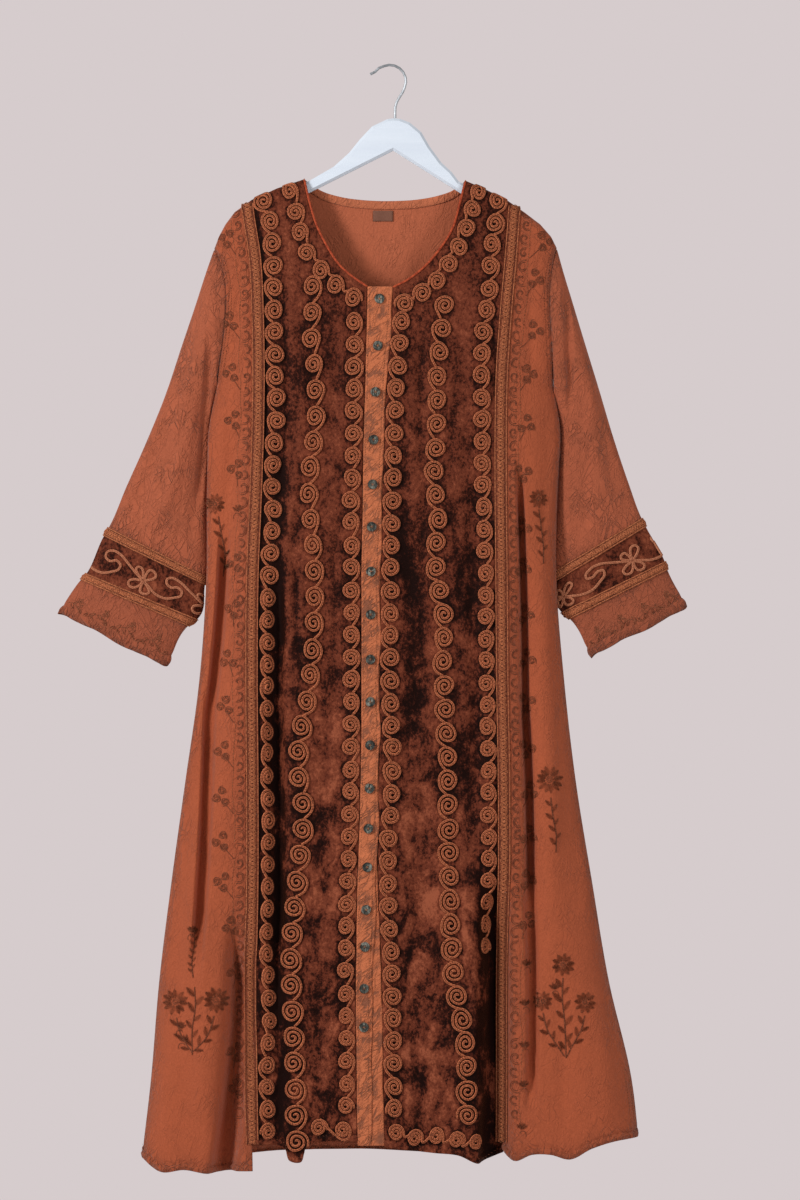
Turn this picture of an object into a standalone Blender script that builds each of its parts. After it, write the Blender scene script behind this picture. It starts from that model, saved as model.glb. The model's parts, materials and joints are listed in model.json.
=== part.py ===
"""A long button-front kaftan with corded velvet front panels, hanging on a flat wooden hanger.

Frame: +Z up, the front faces -Y, and the origin is the inner side of the hook's crown.
Names that end in _l and _r mean the left and right of a viewer who faces the front.
Tables are in millimetres. x runs to the viewer's right, and drop is the distance below the origin.
"""

import math
from collections import namedtuple

import bmesh
import bpy
import numpy as np
from mathutils import Vector
from mathutils.geometry import delaunay_2d_cdt

MM = 0.001
FRONT, BACK = -1, 1
LEFT, RIGHT = -1, 1

# Cloth thicknesses, the gap at a seam and the lift of what lies on a panel
VELVET = 2.2
RAYON = 1.6
BAND_OVER, BAND_UNDER = 1.4, 1.3
BINDING_THICKNESS = 1.2
LABEL_THICKNESS = 1.0
SEAM_GAP = 0.3
LIFT = 0.5

# How near a panel's loose points may come to its outline, and to a raised roundel
POINT_MARGIN = 1.8
DISC_MARGIN = 1.2

# The cloth rolls over the hanger's arms with this radius, then leans forward
SHOULDER_ROLL = 12.0
SHOULDER_LEAN = 0.16
SHOULDER_BLEND = 12.0
SHOULDER_GUIDES = (3.2, 9.0, 20.0)
SHOULDER_COLUMNS = range(-208, 209, 16)
SIDE_ROLL = 70.0
SIDE_ROLLS = (3, 10, 26)
FIRST_LEVEL, LAST_LEVEL, LEVEL_STEP = 140.0, 1440.0, 60.0

# Body seams: x of each at a drop, and how far the front and the back stand from y = 0
Level = namedtuple(
    "Level", "drop side_l braid_l placket_l placket_r velvet_r braid_r side_r front back"
)
LEVELS = (
    Level(150, -226, -187, -28, 5, 5, 165, 214, 20, 16),
    Level(183, -226, -184, -28, 5, 5, 163, 214, 21, 17),
    Level(250, -225, -174, -28, 5, 5, 158, 214, 23, 18),
    Level(330, -225, -170, -29, 3, 3, 151, 214, 26, 20),
    Level(412, -225, -169, -31, -3, -3, 146, 215, 28, 22),
    Level(475, -236, -170, -33, -6, -6, 145, 224, 29, 23),
    Level(540, -238, -172, -34, -8, -8, 145, 221, 30, 23),
    Level(670, -239, -177, -36, -11, -11, 146, 219, 33, 24),
    Level(800, -248, -178, -36, -12, -12, 147, 229, 36, 26),
    Level(930, -266, -177, -37, -13, -13, 149, 244, 39, 28),
    Level(1060, -284, -177, -41, -16, -14, 149, 265, 42, 30),
    Level(1190, -300, -179, -43, -21, -9, 147, 287, 45, 32),
    Level(1320, -311, -178, -42, -22, -7, 147, 317, 48, 34),
    Level(1440, -325, -176, -40, -22, -5, 146, 329, 50, 35),
)
DROPS = [row.drop for row in LEVELS]
SLIT_TOP = 1310.0
SLIT_OPENING = 5.0
SLIT_EASE = 120.0

# The shoulder line, which is the top fold over the hanger
SHOULDER = (
    (-227.5, 238), (-221, 221), (-213, 206), (-201, 190), (-179, 174), (-146, 159), (-110.5, 147),
    (99.6, 149), (123, 159), (153, 174), (176, 190), (197, 206), (211, 222), (218.4, 237),
)  # fmt: skip

# Armhole seams, from the shoulder down to the underarm
ARMHOLE = {
    LEFT: ((-227.5, 238), (-219, 258), (-213, 284), (-212, 307), (-214, 340), (-217, 364), (-225, 412)),
    RIGHT: ((218.4, 237), (214, 255), (210.5, 275), (209, 310), (211, 350), (213, 390), (215, 425)),
}
ARMHOLE_DEPTH = 16.0
RING_POINTS = 16

# Necklines, from the left neck point round to the right one
FRONT_NECK_L = ((-110.5, 147), (-104.5, 173), (-94, 208), (-79, 238), (-65, 259), (-46, 276), (-28, 288))
FRONT_NECK_R = ((5, 289), (26, 278), (45, 263), (66, 239), (82, 213), (92, 179), (99.6, 149))
BACK_NECK = (
    (-110.5, 147), (-88, 162), (-62, 170), (-32, 174), (5, 175), (38, 173), (68, 167), (82, 162), (99.6, 149)
)  # fmt: skip

FRONT_ROLLS, BACK_ROLLS = (3.4, 9.5, 20.0), (6.0, 16.0, 30.0)
NECK_STEP = 24.0
BINDING_WIDTH = 10.0
TRIM_STEP = 20.0
LABEL_LEFT, LABEL_RIGHT, LABEL_TOP, LABEL_BOTTOM = -21.0, 5.0, 187.0, 201.0
PIPING_RADIUS, PIPING_OUTSET = 1.5, 2.3

# Hems
HEM_SIDE_L = ((-322, 1418), (-294, 1436), (-266, 1433), (-233, 1438), (-200, 1435), (-176, 1434))
HEM_VELVET_L = ((-176, 1406), (-150, 1407), (-124, 1421), (-107, 1412), (-76, 1408), (-40, 1403))
HEM_VELVET_R = ((-5, 1403), (26, 1407), (60, 1411), (90, 1414), (118, 1425), (146, 1412))
HEM_SIDE_R = (
    (146, 1408), (162, 1421), (185, 1413), (210, 1413), (234, 1419), (264, 1405), (290, 1397), (327, 1392)
)  # fmt: skip
HEM_BACK = (
    (-322, 1412), (-240, 1420), (-140, 1414), (-40, 1412), (60, 1416), (160, 1412), (250, 1404), (327, 1389)
)  # fmt: skip
HEM_STEP = 34.0
PLACKET_HEM = 1401.0
OVER_OUT, UNDER_OUT = 1.0, -0.7
UNDER_TOP, UNDER_INSET = 4.0, 3.0

# Long valleys in the body's cloth; one that ends at the last level runs out at the hem
Fold = namedtuple("Fold", "facing top_drop top_x mid_drop mid_x end_drop end_x width end_width depth")
FOLDS = (
    Fold(FRONT, 400, -200, 700, -217, 1020, -252, 15, 20, 11),
    Fold(FRONT, 1080, -197, 1250, -203, 1440, -212, 9, 18, 18),
    Fold(FRONT, 620, -142, 1000, -145, 1440, -144, 15, 15, 8),
    Fold(FRONT, 420, 112, 750, 113, 1060, 116, 15, 15, 7),
    Fold(FRONT, 1020, 141, 1200, 139, 1440, 139, 15, 18, 21),
    Fold(FRONT, 560, 174, 840, 181, 1240, 192, 12, 16, 10),
    Fold(FRONT, 700, 212, 900, 228, 1150, 246, 16, 22, 6),
    Fold(FRONT, 500, 40, 900, 48, 1440, 58, 26, 34, 4),
    Fold(FRONT, 600, -78, 1000, -84, 1440, -86, 26, 32, 4),
    Fold(FRONT, 1000, -285, 1200, -272, 1440, -262, 18, 24, 5),
    Fold(BACK, 420, -120, 900, -150, 1440, -190, 24, 34, 9),
    Fold(BACK, 330, -30, 900, -50, 1440, -70, 24, 36, 8),
    Fold(BACK, 380, 60, 900, 70, 1440, 80, 24, 34, 9),
    Fold(BACK, 420, 130, 900, 160, 1440, 210, 24, 34, 8),
)
FOLD_MARGIN = 13.0

# Columns of coiled-cord roundels: radius, spacing and the line that their centres follow
Chain = namedtuple("Chain", "radius pitch line")
ROUNDEL_HEIGHT = 2.4
ROUNDEL_SLOPE = 1.6
CHAINS_L = (
    Chain(11.5, 28.1, ((-156, 190), (-148, 304), (-144, 455), (-152, 560), (-156, 800), (-156, 1380))),
    Chain(12.5, 34.0, ((-100, 292), (-96, 417), (-101, 486), (-101, 733), (-109, 850), (-126, 1380))),
    Chain(10.5, 28.6, ((-46, 334), (-45, 454), (-49, 567), (-48, 900), (-55, 1190), (-54, 1345))),
    Chain(11.5, 28.5, ((-129, 172), (-119, 210), (-112, 235), (-97, 256), (-75, 281), (-47, 302))),
    Chain(11.5, 28.0, ((-58, 1382), (-92, 1376))),
)
CHAINS_R = (
    Chain(11.5, 28.1, ((140, 192), (132, 260), (127, 328), (121, 419), (121, 538), (124, 700), (126, 1380))),
    Chain(12.5, 30.5, ((73, 308), (66, 411), (61, 514), (66, 662), (75, 861), (79, 1100), (100, 1378))),
    Chain(10.5, 28.3, ((17, 334), (10, 425), (6, 560), (3, 822), (6, 1000), (8, 1190), (10, 1370))),
    Chain(11.5, 28.5, ((116, 173), (109, 190), (101, 211), (89, 241), (72, 268), (48, 294), (20, 307))),
    Chain(11.5, 27.0, ((34, 1389), (66, 1391))),
)

# Sleeve rings: the outer and inner edges, half the depth, and how far the ring sits back
Ring = namedtuple("Ring", "outer_x outer_drop inner_x inner_drop half back")
SLEEVE = {
    LEFT: (
        Ring(-227.5, 238, -225, 412, ARMHOLE_DEPTH, 0),
        Ring(-238, 268, -228, 417, 20, 0),
        Ring(-252, 311, -230, 424, 23, 2),
        Ring(-269, 361, -233, 437, 24, 4),
        Ring(-290, 424, -238, 466, 23, 6),
        Ring(-315, 486, -241, 525, 20, 8),
        Ring(-343, 549, -242, 604, 17, 8),
        Ring(-365, 600, -244, 664, 14, 8),
        Ring(-372, 612, -249, 676, 14, 8),
        Ring(-394, 660, -253, 719, 13, 8),
        Ring(-402, 669, -262, 729, 13, 8),
        Ring(-432, 713, -290, 784, 11, 8),
    ),
    RIGHT: (
        Ring(218.4, 237, 215, 425, ARMHOLE_DEPTH, 0),
        Ring(227, 268, 219, 429, 20, 0),
        Ring(238, 304, 225, 437, 23, 2),
        Ring(252, 350, 228, 448, 24, 4),
        Ring(272, 415, 230, 475, 23, 6),
        Ring(292, 482, 229, 530, 20, 8),
        Ring(313, 545, 226, 598, 17, 8),
        Ring(329, 588, 223, 656, 14, 8),
        Ring(335, 600, 224, 671, 14, 8),
        Ring(359, 644, 227, 710, 13, 8),
        Ring(363, 656, 236, 720, 13, 8),
        Ring(390, 706, 264, 771, 11, 8),
    ),
}

# Seams of the sleeve's pieces as row numbers above, with the gap between two pieces in the same unit
BAND_START, BAND_END, CUFF_END = 7.5, 9.5, 11.0
ROW_GAP = 0.012
SCROLLS = 8
SCROLL_HEIGHT = 2.0

BUTTON_DROPS = (304, 365, 425, 487, 545, 600, 658, 714, 772, 827, 883, 939, 991, 1041, 1096, 1144, 1198, 1248)
BUTTON_RADIUS = 6.4
BUTTON_RIM = 2.0
BUTTON_HEIGHT = 2.6
BRAID_HALF_WIDTH = 8.0
BRAID_THICKNESS = 1.4
BRAID_END = 1400.0
SLEEVE_BRAID_LIFT = 0.6

# The hanger's outline, clockwise from the hook, and the hook's bends
HANGER_TOP_R = ((27, 73.5), (42, 86), (53, 105), (68, 125.5), (82, 138.5), (91, 150.5))
HANGER_TOP_L = ((-104, 149.5), (-72, 131), (-52, 113), (-38, 95.5), (-22, 78.5), (-2, 69))
HANGER_THICKNESS = 12.0
HANGER_EDGE = 3.2
ARM_DEPTH = 17.0
ARM_BELOW_FOLD = 4.4
ARM_TIP_L, ARM_TIP_R = -196.0, 180.0
TIP_ROUND = 5.0
HANGER_LOW_L, HANGER_NOTCH, HANGER_LOW_R = (-106, 166), (5.5, 110), (94, 166)
HANGER_CAP = ((6, 67.9), (14, 68.6))
WIRE_RADIUS = 1.7
HOOK_ARC_RADIUS, HOOK_ARC_X = 21.0, 1.0
HOOK_ARC_TURNS = (116.25, -15, 8)
HOOK_STEP = 7.0
HOOK_TIP = ((-24.5, 10.5), (-19.5, 8.5), (-15, 3.5))
HOOK_STEM = ((20.5, 27), (16.5, 36), (11.5, 43.5), (8.5, 51), (7.8, 60), (7.8, 67.4))


def hermite(at, xs, ys):
    """A smooth curve through a table's rows, flat past its ends."""
    xs, ys = np.asarray(xs, float), np.asarray(ys, float)
    at = np.clip(at, xs[0], xs[-1])
    slope = np.gradient(ys, xs)
    i = np.clip(np.searchsorted(xs, at) - 1, 0, len(xs) - 2)
    h = xs[i + 1] - xs[i]
    t = (at - xs[i]) / h
    return (
        (1 + 2 * t) * (1 - t) ** 2 * ys[i]
        + t * (1 - t) ** 2 * h * slope[i]
        + t * t * (3 - 2 * t) * ys[i + 1]
        + t * t * (t - 1) * h * slope[i + 1]
    )


def seam(name, drop):
    """x of one of the body's seams, or a depth column, at a drop."""
    return hermite(drop, DROPS, [getattr(row, name) for row in LEVELS])


def shoulder_drop(x):
    return np.interp(x, *zip(*SHOULDER))


def armhole(side, share):
    """(x, drop) on an armhole seam, share running from 0 at the shoulder to 1 at the underarm."""
    xs, drops = zip(*ARMHOLE[side])
    drop = drops[0] + (drops[-1] - drops[0]) * share
    return hermite(drop, drops, xs), drop


def armhole_share(side, drop):
    drops = [drop for _, drop in ARMHOLE[side]]
    return np.clip((drop - drops[0]) / (drops[-1] - drops[0]), 0, 1)


def side_edge(side, drop):
    """x of the body's outer edge, which is the armhole seam above the underarm."""
    above = armhole(side, armhole_share(side, drop))[0]
    below = seam("side_l" if side == LEFT else "side_r", drop)
    return np.where(drop < ARMHOLE[side][-1][1], above, below)


def eased(value):
    value = np.clip(value, 0, 1)
    return value * value * (3 - 2 * value)


def fold_depth(x, drop, facing):
    total = np.zeros(np.broadcast(x, drop).shape)
    for fold in FOLDS:
        if fold.facing != facing:
            continue
        drops = (fold.top_drop, fold.mid_drop, fold.end_drop)
        middle = hermite(drop, drops, (fold.top_x, fold.mid_x, fold.end_x))
        along = (drop - fold.top_drop) / (fold.end_drop - fold.top_drop)
        width = fold.width + (fold.end_width - fold.width) * np.clip(along, 0, 1)
        fading = eased(along * 4) * (1 if fold.end_drop >= LAST_LEVEL else eased((1 - along) * 4))
        total = total + fold.depth * fading * np.exp(-(((x - middle) / width) ** 2))
    return total


def stand_off(x, drop, facing):
    """How far the outer face of the cloth stands from y = 0."""
    x, drop = np.broadcast_arrays(np.asarray(x, float), np.asarray(drop, float))
    below = np.maximum(drop - shoulder_drop(x), 0)
    rolled = np.minimum(below, SHOULDER_ROLL)
    ridge = np.sqrt(SHOULDER_ROLL**2 - (SHOULDER_ROLL - rolled) ** 2)
    ridge = ridge + SHOULDER_LEAN * (below - rolled)
    base = seam("front" if facing == FRONT else "back", drop) - fold_depth(x, drop, facing)
    for side in (LEFT, RIGHT):
        share = armhole_share(side, drop)
        open_arm = 2 * np.sqrt(share * (1 - share))
        edge = ARMHOLE_DEPTH * open_arm + SLIT_OPENING * eased((drop - SLIT_TOP) / SLIT_EASE)
        inset = np.clip(side * (side_edge(side, drop) - x) / SIDE_ROLL, 0, 1)
        base = edge + (base - edge) * (1 - (1 - inset) ** 2) ** (0.5 + 0.5 * open_arm)
    blend = np.clip(0.5 + (ridge - base) / SHOULDER_BLEND, 0, 1)
    lower = base * blend + ridge * (1 - blend) - SHOULDER_BLEND / 2 * blend * (1 - blend)
    return np.maximum(lower, SEAM_GAP / 2)


def outward(x, drop, facing):
    step = 0.5
    across = (stand_off(x + step, drop, facing) - stand_off(x - step, drop, facing)) / (2 * step)
    down = (stand_off(x, drop + step, facing) - stand_off(x, drop - step, facing)) / (2 * step)
    normal = np.stack([-across, np.full(across.shape, float(facing)), down], axis=-1)
    return normal / np.linalg.norm(normal, axis=-1, keepdims=True)


def cloth(x, drop, facing, out=0.0):
    """Points on the body's cloth in millimetres, moved out from its outer face."""
    x, drop = np.broadcast_arrays(np.asarray(x, float), np.asarray(drop, float))
    points = np.stack([x, facing * stand_off(x, drop, facing), -drop], axis=-1)
    moved = points + outward(x, drop, facing) * np.asarray(out)[..., None]
    moved[..., 1] = facing * np.maximum(facing * moved[..., 1], SEAM_GAP / 2)
    return moved


def make_object(name, points, faces, material):
    mesh = bpy.data.meshes.new(name)
    mesh.from_pydata([tuple(MM * c for c in point) for point in points], [], faces)
    mesh.validate()
    body = bmesh.new()
    body.from_mesh(mesh)
    bmesh.ops.recalc_face_normals(body, faces=body.faces)
    body.to_mesh(mesh)
    body.free()
    mesh.shade_smooth()
    mesh.set_sharp_from_angle(angle=math.radians(40))
    mesh.materials.append(material)
    made = bpy.data.objects.new(name, mesh)
    KAFTAN.objects.link(made)
    return made


def triangulate(border, lines, inside, rings=()):
    """Flat triangles over an outline, with kept lines, loose points and closed rings of points inside it."""
    points = [Vector((x, -drop)) for x, drop in border]
    count = len(border)
    edges = [(i, (i + 1) % count) for i in range(count)]
    for line in lines:
        edges += [(len(points) + i, len(points) + i + 1) for i in range(len(line) - 1)]
        points += [Vector((x, -drop)) for x, drop in line]
    points += [Vector((x, -drop)) for x, drop in inside]
    for ring in rings:
        start = len(points)
        points += [Vector((x, -drop)) for x, drop in ring]
        edges += [(start + i, start + (i + 1) % len(ring)) for i in range(len(ring))]
    made, _, faces, origins, _, _ = delaunay_2d_cdt(points, edges, [], 1, 1e-4)
    index = [origin[0] for origin in origins]
    return [tuple(index[i] for i in face) for face in faces]


def clear_of(points, outline, margin, kept=()):
    """The points that lie inside an outline by a margin, and apart from those kept before."""
    corners = np.asarray(outline, float)[:, :2]
    ends = np.roll(corners, -1, axis=0)
    result = list(kept)
    for point in points:
        p = np.asarray(point, float)
        along = ends - corners
        share = np.clip(((p - corners) * along).sum(1) / np.maximum((along**2).sum(1), 1e-9), 0, 1)
        near = np.linalg.norm(corners + along * share[:, None] - p, axis=1).min()
        crosses = (corners[:, 1] > p[1]) != (ends[:, 1] > p[1])
        rise = np.where(crosses, ends[:, 1] - corners[:, 1], 1)
        at = corners[:, 0] + (p[1] - corners[:, 1]) / rise * along[:, 0]
        inside = (crosses & (p[0] < at)).sum() % 2 == 1
        apart = min((math.dist(p, other) for other in result), default=margin)
        if inside and near >= margin and apart >= margin:
            result.append(tuple(p))
    return result


def wall(name, outline, loose, facing, thickness, material, out=0.0, discs=(), armholes=(), lines=()):
    """A cloth panel as a closed wall: outer face with raised discs, plain inner face and rim."""
    on_lines = [point for line in lines for point in line]
    inside = clear_of(loose, outline, POINT_MARGIN, on_lines)[len(on_lines) :]
    count = len(outline)
    nudge = np.array([point[2] for point in outline])
    border = [(x + shift, drop) for x, drop, shift in outline]
    rings, hidden = [], []
    for x, drop, radius, squeeze in discs:
        turn = [math.radians(60 * k) for k in range(6)]
        base = [(x + radius * squeeze * math.cos(a), drop - radius * math.sin(a)) for a in turn]
        top_radius = radius - ROUNDEL_SLOPE
        top = [(x + top_radius * squeeze * math.cos(a), drop - top_radius * math.sin(a)) for a in turn]
        rings += [base, top]
        hidden.append((x, drop, radius * squeeze + DISC_MARGIN, radius + DISC_MARGIN))
    shown = []
    for p in inside:
        if all(((p[0] - x) / w) ** 2 + ((p[1] - drop) / h) ** 2 > 1 for x, drop, w, h in hidden):
            shown.append(p)
    seams = [(x, drop) for x, drop, _ in outline]
    outer_flat = seams + on_lines + shown + [p for ring in rings for p in ring]
    raised = np.zeros(len(outer_flat))
    start = count + len(on_lines) + len(shown)
    for k in range(len(discs)):
        raised[start + 12 * k + 6 : start + 12 * k + 12] = ROUNDEL_HEIGHT
    xs, drops = np.array(outer_flat).T
    outer = cloth(xs, drops, facing, out + raised)
    inner_flat = np.array(seams + on_lines + inside)
    inner = cloth(inner_flat[:, 0], inner_flat[:, 1], facing, out - thickness)
    outer[:count, 0] += nudge
    inner[:count, 0] += nudge
    for side, first, last in armholes:
        turn = np.linspace(0, math.pi, last - first)
        turn = turn if outline[first][1] < outline[last - 1][1] else turn[::-1]
        inward = np.stack([0 * turn, -facing * np.sin(turn), -np.cos(turn)], axis=-1)
        inner[first:last] = outer[first:last] + thickness * inward
        inner[first:last, 1] = facing * np.maximum(facing * inner[first:last, 1], SEAM_GAP / 2)
    faces = triangulate(border, lines, shown, rings)
    shift = len(outer)
    faces += [tuple(shift + i for i in face[::-1]) for face in triangulate(border, lines, inside)]
    for i in range(count):
        k = (i + 1) % count
        if outline[i][1] < outline[k][1]:
            faces += [(k, i, shift + k), (i, shift + i, shift + k)]
        else:
            faces += [(k, i, shift + i), (k, shift + i, shift + k)]
    return make_object(name, np.concatenate([outer, inner]), faces, material)


def levels(top, bottom):
    """Drops at the shared level lines between two drops."""
    found = np.arange(FIRST_LEVEL, LAST_LEVEL, LEVEL_STEP)
    return [float(drop) for drop in found if top + LEVEL_STEP / 4 < drop < bottom - 4]


def seam_points(name, top, bottom, nudge):
    """(x, drop, nudge) down a seam; the nudge is this piece's share of the gap, along x."""
    rolled = [top + under for under in SHOULDER_GUIDES[:2] if "braid" in name]
    drops = [top, *rolled, *levels(top, bottom), bottom]
    return [(float(seam(name, drop)), drop, nudge) for drop in drops]


def beside_seam(name, shift):
    """A line beside a seam, under the edge of its braid."""
    drops = [*levels(FIRST_LEVEL + LEVEL_STEP / 2, BRAID_END), BRAID_END]
    return [(float(seam(name, drop)) + shift, drop) for drop in drops]


def spaced(rows, step):
    """Points at an even step along a table of (x, drop) rows."""
    rows = np.asarray(rows, float)
    lengths = np.concatenate([[0], np.cumsum(np.linalg.norm(np.diff(rows, axis=0), axis=1))])
    at = np.linspace(0, lengths[-1], max(2, round(lengths[-1] / step) + 1))
    return [(float(hermite(a, lengths, rows[:, 0])), float(hermite(a, lengths, rows[:, 1]))) for a in at]


def border_points(rows, step):
    return [(x, drop, 0.0) for x, drop in spaced(rows, step)]


def neck_points(rows, rolls, both_ends=False):
    """A neckline from a shoulder, with closer points where it rolls over the hanger."""
    rows = np.asarray(rows, float)
    lengths = np.concatenate([[0], np.cumsum(np.linalg.norm(np.diff(rows, axis=0), axis=1))])
    total = lengths[-1]
    start, end = rolls[-1], total - rolls[-1] if both_ends else total
    at = [0, *rolls, *np.linspace(start, end, round((end - start) / NECK_STEP) + 1)[1:]]
    at += [total - roll for roll in rolls[:-1][::-1]] + [total] if both_ends else []
    xs, drops = hermite(at, lengths, rows[:, 0]), hermite(at, lengths, rows[:, 1])
    return [(float(x), float(drop), 0.0) for x, drop in zip(xs, drops)]


def shoulder_points(start, end):
    """Points along the shoulder line, at the columns that the hanger's arms share."""
    lo, hi = min(start, end), max(start, end)
    xs = [lo, *(x for x in SHOULDER_COLUMNS if lo + 3 < x < hi - 3), hi]
    return [(float(x), float(shoulder_drop(x)), 0.0) for x in (xs if start < end else xs[::-1])]


def guides(left, right, facing, columns, rolls=()):
    """Loose points that carry a panel's form: level columns, fold lines, side rolls and the shoulder roll."""
    found = [(x, float(shoulder_drop(x)) + under) for under in SHOULDER_GUIDES for x in SHOULDER_COLUMNS]
    for drop in levels(FIRST_LEVEL, LAST_LEVEL):
        lo, hi = float(left(drop)), float(right(drop))
        for roll in rolls:
            found.append((lo + roll if roll > 0 else hi + roll, drop))
        for fold in FOLDS:
            if fold.facing == facing and fold.top_drop - 40 < drop < fold.end_drop + 40:
                drops = (fold.top_drop, fold.mid_drop, fold.end_drop)
                middle = float(hermite(drop, drops, (fold.top_x, fold.mid_x, fold.end_x)))
                places = [middle + k * fold.end_width for k in ((-1, 0, 1) if fold.depth > 5 else (0,))]
                found += [(x, drop) for x in places if lo + FOLD_MARGIN < x < hi - FOLD_MARGIN]
        found += [(lo + (hi - lo) * (k + 1) / (columns + 1), drop) for k in range(columns)]
    return found


def edge_at(name):
    return lambda drop: seam(name, drop)


def roundels(chains, lo_seam, hi_seam):
    """(x, drop, radius, squeeze) of each roundel of a panel; a sloping cloth narrows them across."""
    found = []
    for chain in chains:
        for x, drop in spaced(chain.line, chain.pitch):
            normal = outward(np.array([x]), np.array([drop]), FRONT)[0]
            squeeze = max(0.5, abs(normal[1]))
            reach = chain.radius * squeeze + DISC_MARGIN + POINT_MARGIN
            lo = float(seam(lo_seam, drop)) + reach
            hi = float(seam(hi_seam, drop)) - reach
            lo += BRAID_HALF_WIDTH * (lo_seam == "braid_l")
            hi -= BRAID_HALF_WIDTH * (hi_seam == "braid_r")
            found.append((min(max(x, lo), hi), drop, chain.radius, squeeze))
    return found


def armhole_points(side, upward):
    turns = np.linspace(0, math.pi, RING_POINTS // 2 + 1)
    points = [(*(float(c) for c in armhole(side, (1 - math.cos(turn)) / 2)), 0.0) for turn in turns]
    return points[::-1] if upward else points


def side_points(side, bottom, downward):
    drops = levels(ARMHOLE[side][-1][1], bottom) + [bottom]
    points = [(float(side_edge(side, drop)), drop, 0.0) for drop in drops]
    return points if downward else points[::-1]


def top_corner(name):
    """The point where a seam meets the shoulder line."""
    drop = 180.0
    for _ in range(8):
        drop = float(shoulder_drop(float(seam(name, drop))))
    return float(seam(name, drop)), drop


def build_side_fronts():
    gap = SEAM_GAP / 2
    corner_x, corner_drop = top_corner("braid_l")
    outline = armhole_points(LEFT, False)
    outline += side_points(LEFT, HEM_SIDE_L[0][1], True)[:-1] + border_points(HEM_SIDE_L, HEM_STEP)[:-1]
    outline += seam_points("braid_l", corner_drop, HEM_SIDE_L[-1][1], -gap)[::-1]
    outline += shoulder_points(corner_x, ARMHOLE[LEFT][0][0])[1:-1]
    loose = guides(lambda d: side_edge(LEFT, d), edge_at("braid_l"), FRONT, 2, SIDE_ROLLS)
    kept = beside_seam("braid_l", -BRAID_HALF_WIDTH)
    arm = (LEFT, 0, RING_POINTS // 2 + 1)
    wall("side_front_l", outline, loose, FRONT, RAYON, RUST, armholes=[arm], lines=[kept])
    corner_x, corner_drop = top_corner("braid_r")
    outline = seam_points("braid_r", corner_drop, HEM_SIDE_R[0][1], gap)
    outline += border_points(HEM_SIDE_R, HEM_STEP)[1:-1] + side_points(RIGHT, HEM_SIDE_R[-1][1], False)
    first = len(outline)
    outline += armhole_points(RIGHT, True)
    outline += shoulder_points(ARMHOLE[RIGHT][0][0], corner_x)[1:-1]
    rolls = [-roll for roll in SIDE_ROLLS]
    loose = guides(edge_at("braid_r"), lambda d: side_edge(RIGHT, d), FRONT, 2, rolls)
    kept = beside_seam("braid_r", BRAID_HALF_WIDTH)
    arm = (RIGHT, first, first + RING_POINTS // 2 + 1)
    wall("side_front_r", outline, loose, FRONT, RAYON, RUST, armholes=[arm], lines=[kept])


def build_velvet_fronts():
    gap = SEAM_GAP / 2
    corner_x, corner_drop = top_corner("braid_l")
    outline = seam_points("braid_l", corner_drop, HEM_VELVET_L[0][1], gap)[:-1]
    outline += border_points(HEM_VELVET_L, HEM_STEP)[:-1]
    outline += seam_points("placket_l", FRONT_NECK_L[-1][1], HEM_VELVET_L[-1][1], -gap)[::-1]
    outline += neck_points(FRONT_NECK_L, FRONT_ROLLS)[::-1][1:-1]
    outline += shoulder_points(FRONT_NECK_L[0][0], corner_x)[:-1]
    loose = guides(edge_at("braid_l"), edge_at("placket_l"), FRONT, 3)
    discs = roundels(CHAINS_L, "braid_l", "placket_l")
    kept = beside_seam("braid_l", BRAID_HALF_WIDTH)
    wall("velvet_front_l", outline, loose, FRONT, VELVET, VELVET_BROWN, discs=discs, lines=[kept])
    corner_x, corner_drop = top_corner("braid_r")
    outline = seam_points("velvet_r", FRONT_NECK_R[0][1], HEM_VELVET_R[0][1], gap)[:-1]
    outline += border_points(HEM_VELVET_R, HEM_STEP)[:-1]
    outline += seam_points("braid_r", corner_drop, HEM_VELVET_R[-1][1], -gap)[::-1]
    outline += shoulder_points(corner_x, FRONT_NECK_R[-1][0])[1:-1]
    outline += neck_points(FRONT_NECK_R[::-1], FRONT_ROLLS)[:-1]
    loose = guides(edge_at("velvet_r"), edge_at("braid_r"), FRONT, 3)
    discs = roundels(CHAINS_R, "velvet_r", "braid_r")
    kept = beside_seam("braid_r", -BRAID_HALF_WIDTH)
    wall("velvet_front_r", outline, loose, FRONT, VELVET, VELVET_BROWN, discs=discs, lines=[kept])


def build_back():
    left = armhole_points(LEFT, False)
    outline = left + side_points(LEFT, HEM_BACK[0][1], True)[:-1] + border_points(HEM_BACK, HEM_STEP)[:-1]
    outline += side_points(RIGHT, HEM_BACK[-1][1], False)
    first = len(outline)
    outline += armhole_points(RIGHT, True)
    outline += shoulder_points(ARMHOLE[RIGHT][0][0], BACK_NECK[-1][0])[1:-1]
    outline += neck_points(BACK_NECK[::-1], BACK_ROLLS, both_ends=True)
    outline += shoulder_points(BACK_NECK[0][0], ARMHOLE[LEFT][0][0])[1:-1]
    rolls = (*SIDE_ROLLS, *(-roll for roll in SIDE_ROLLS))
    loose = guides(lambda d: side_edge(LEFT, d), lambda d: side_edge(RIGHT, d), BACK, 2, rolls)
    binding = [(x, drop + BINDING_WIDTH) for x, drop in spaced(BACK_NECK[1:-1], TRIM_STEP)]
    label = [(x, LABEL_TOP) for x in (LABEL_LEFT, LABEL_RIGHT)]
    label += [(x, LABEL_BOTTOM) for x in (LABEL_RIGHT, LABEL_LEFT)]
    arms = [(LEFT, 0, len(left)), (RIGHT, first, first + len(left))]
    wall("back", outline, loose, BACK, RAYON, RUST, lines=[binding, label], armholes=arms)


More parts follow.
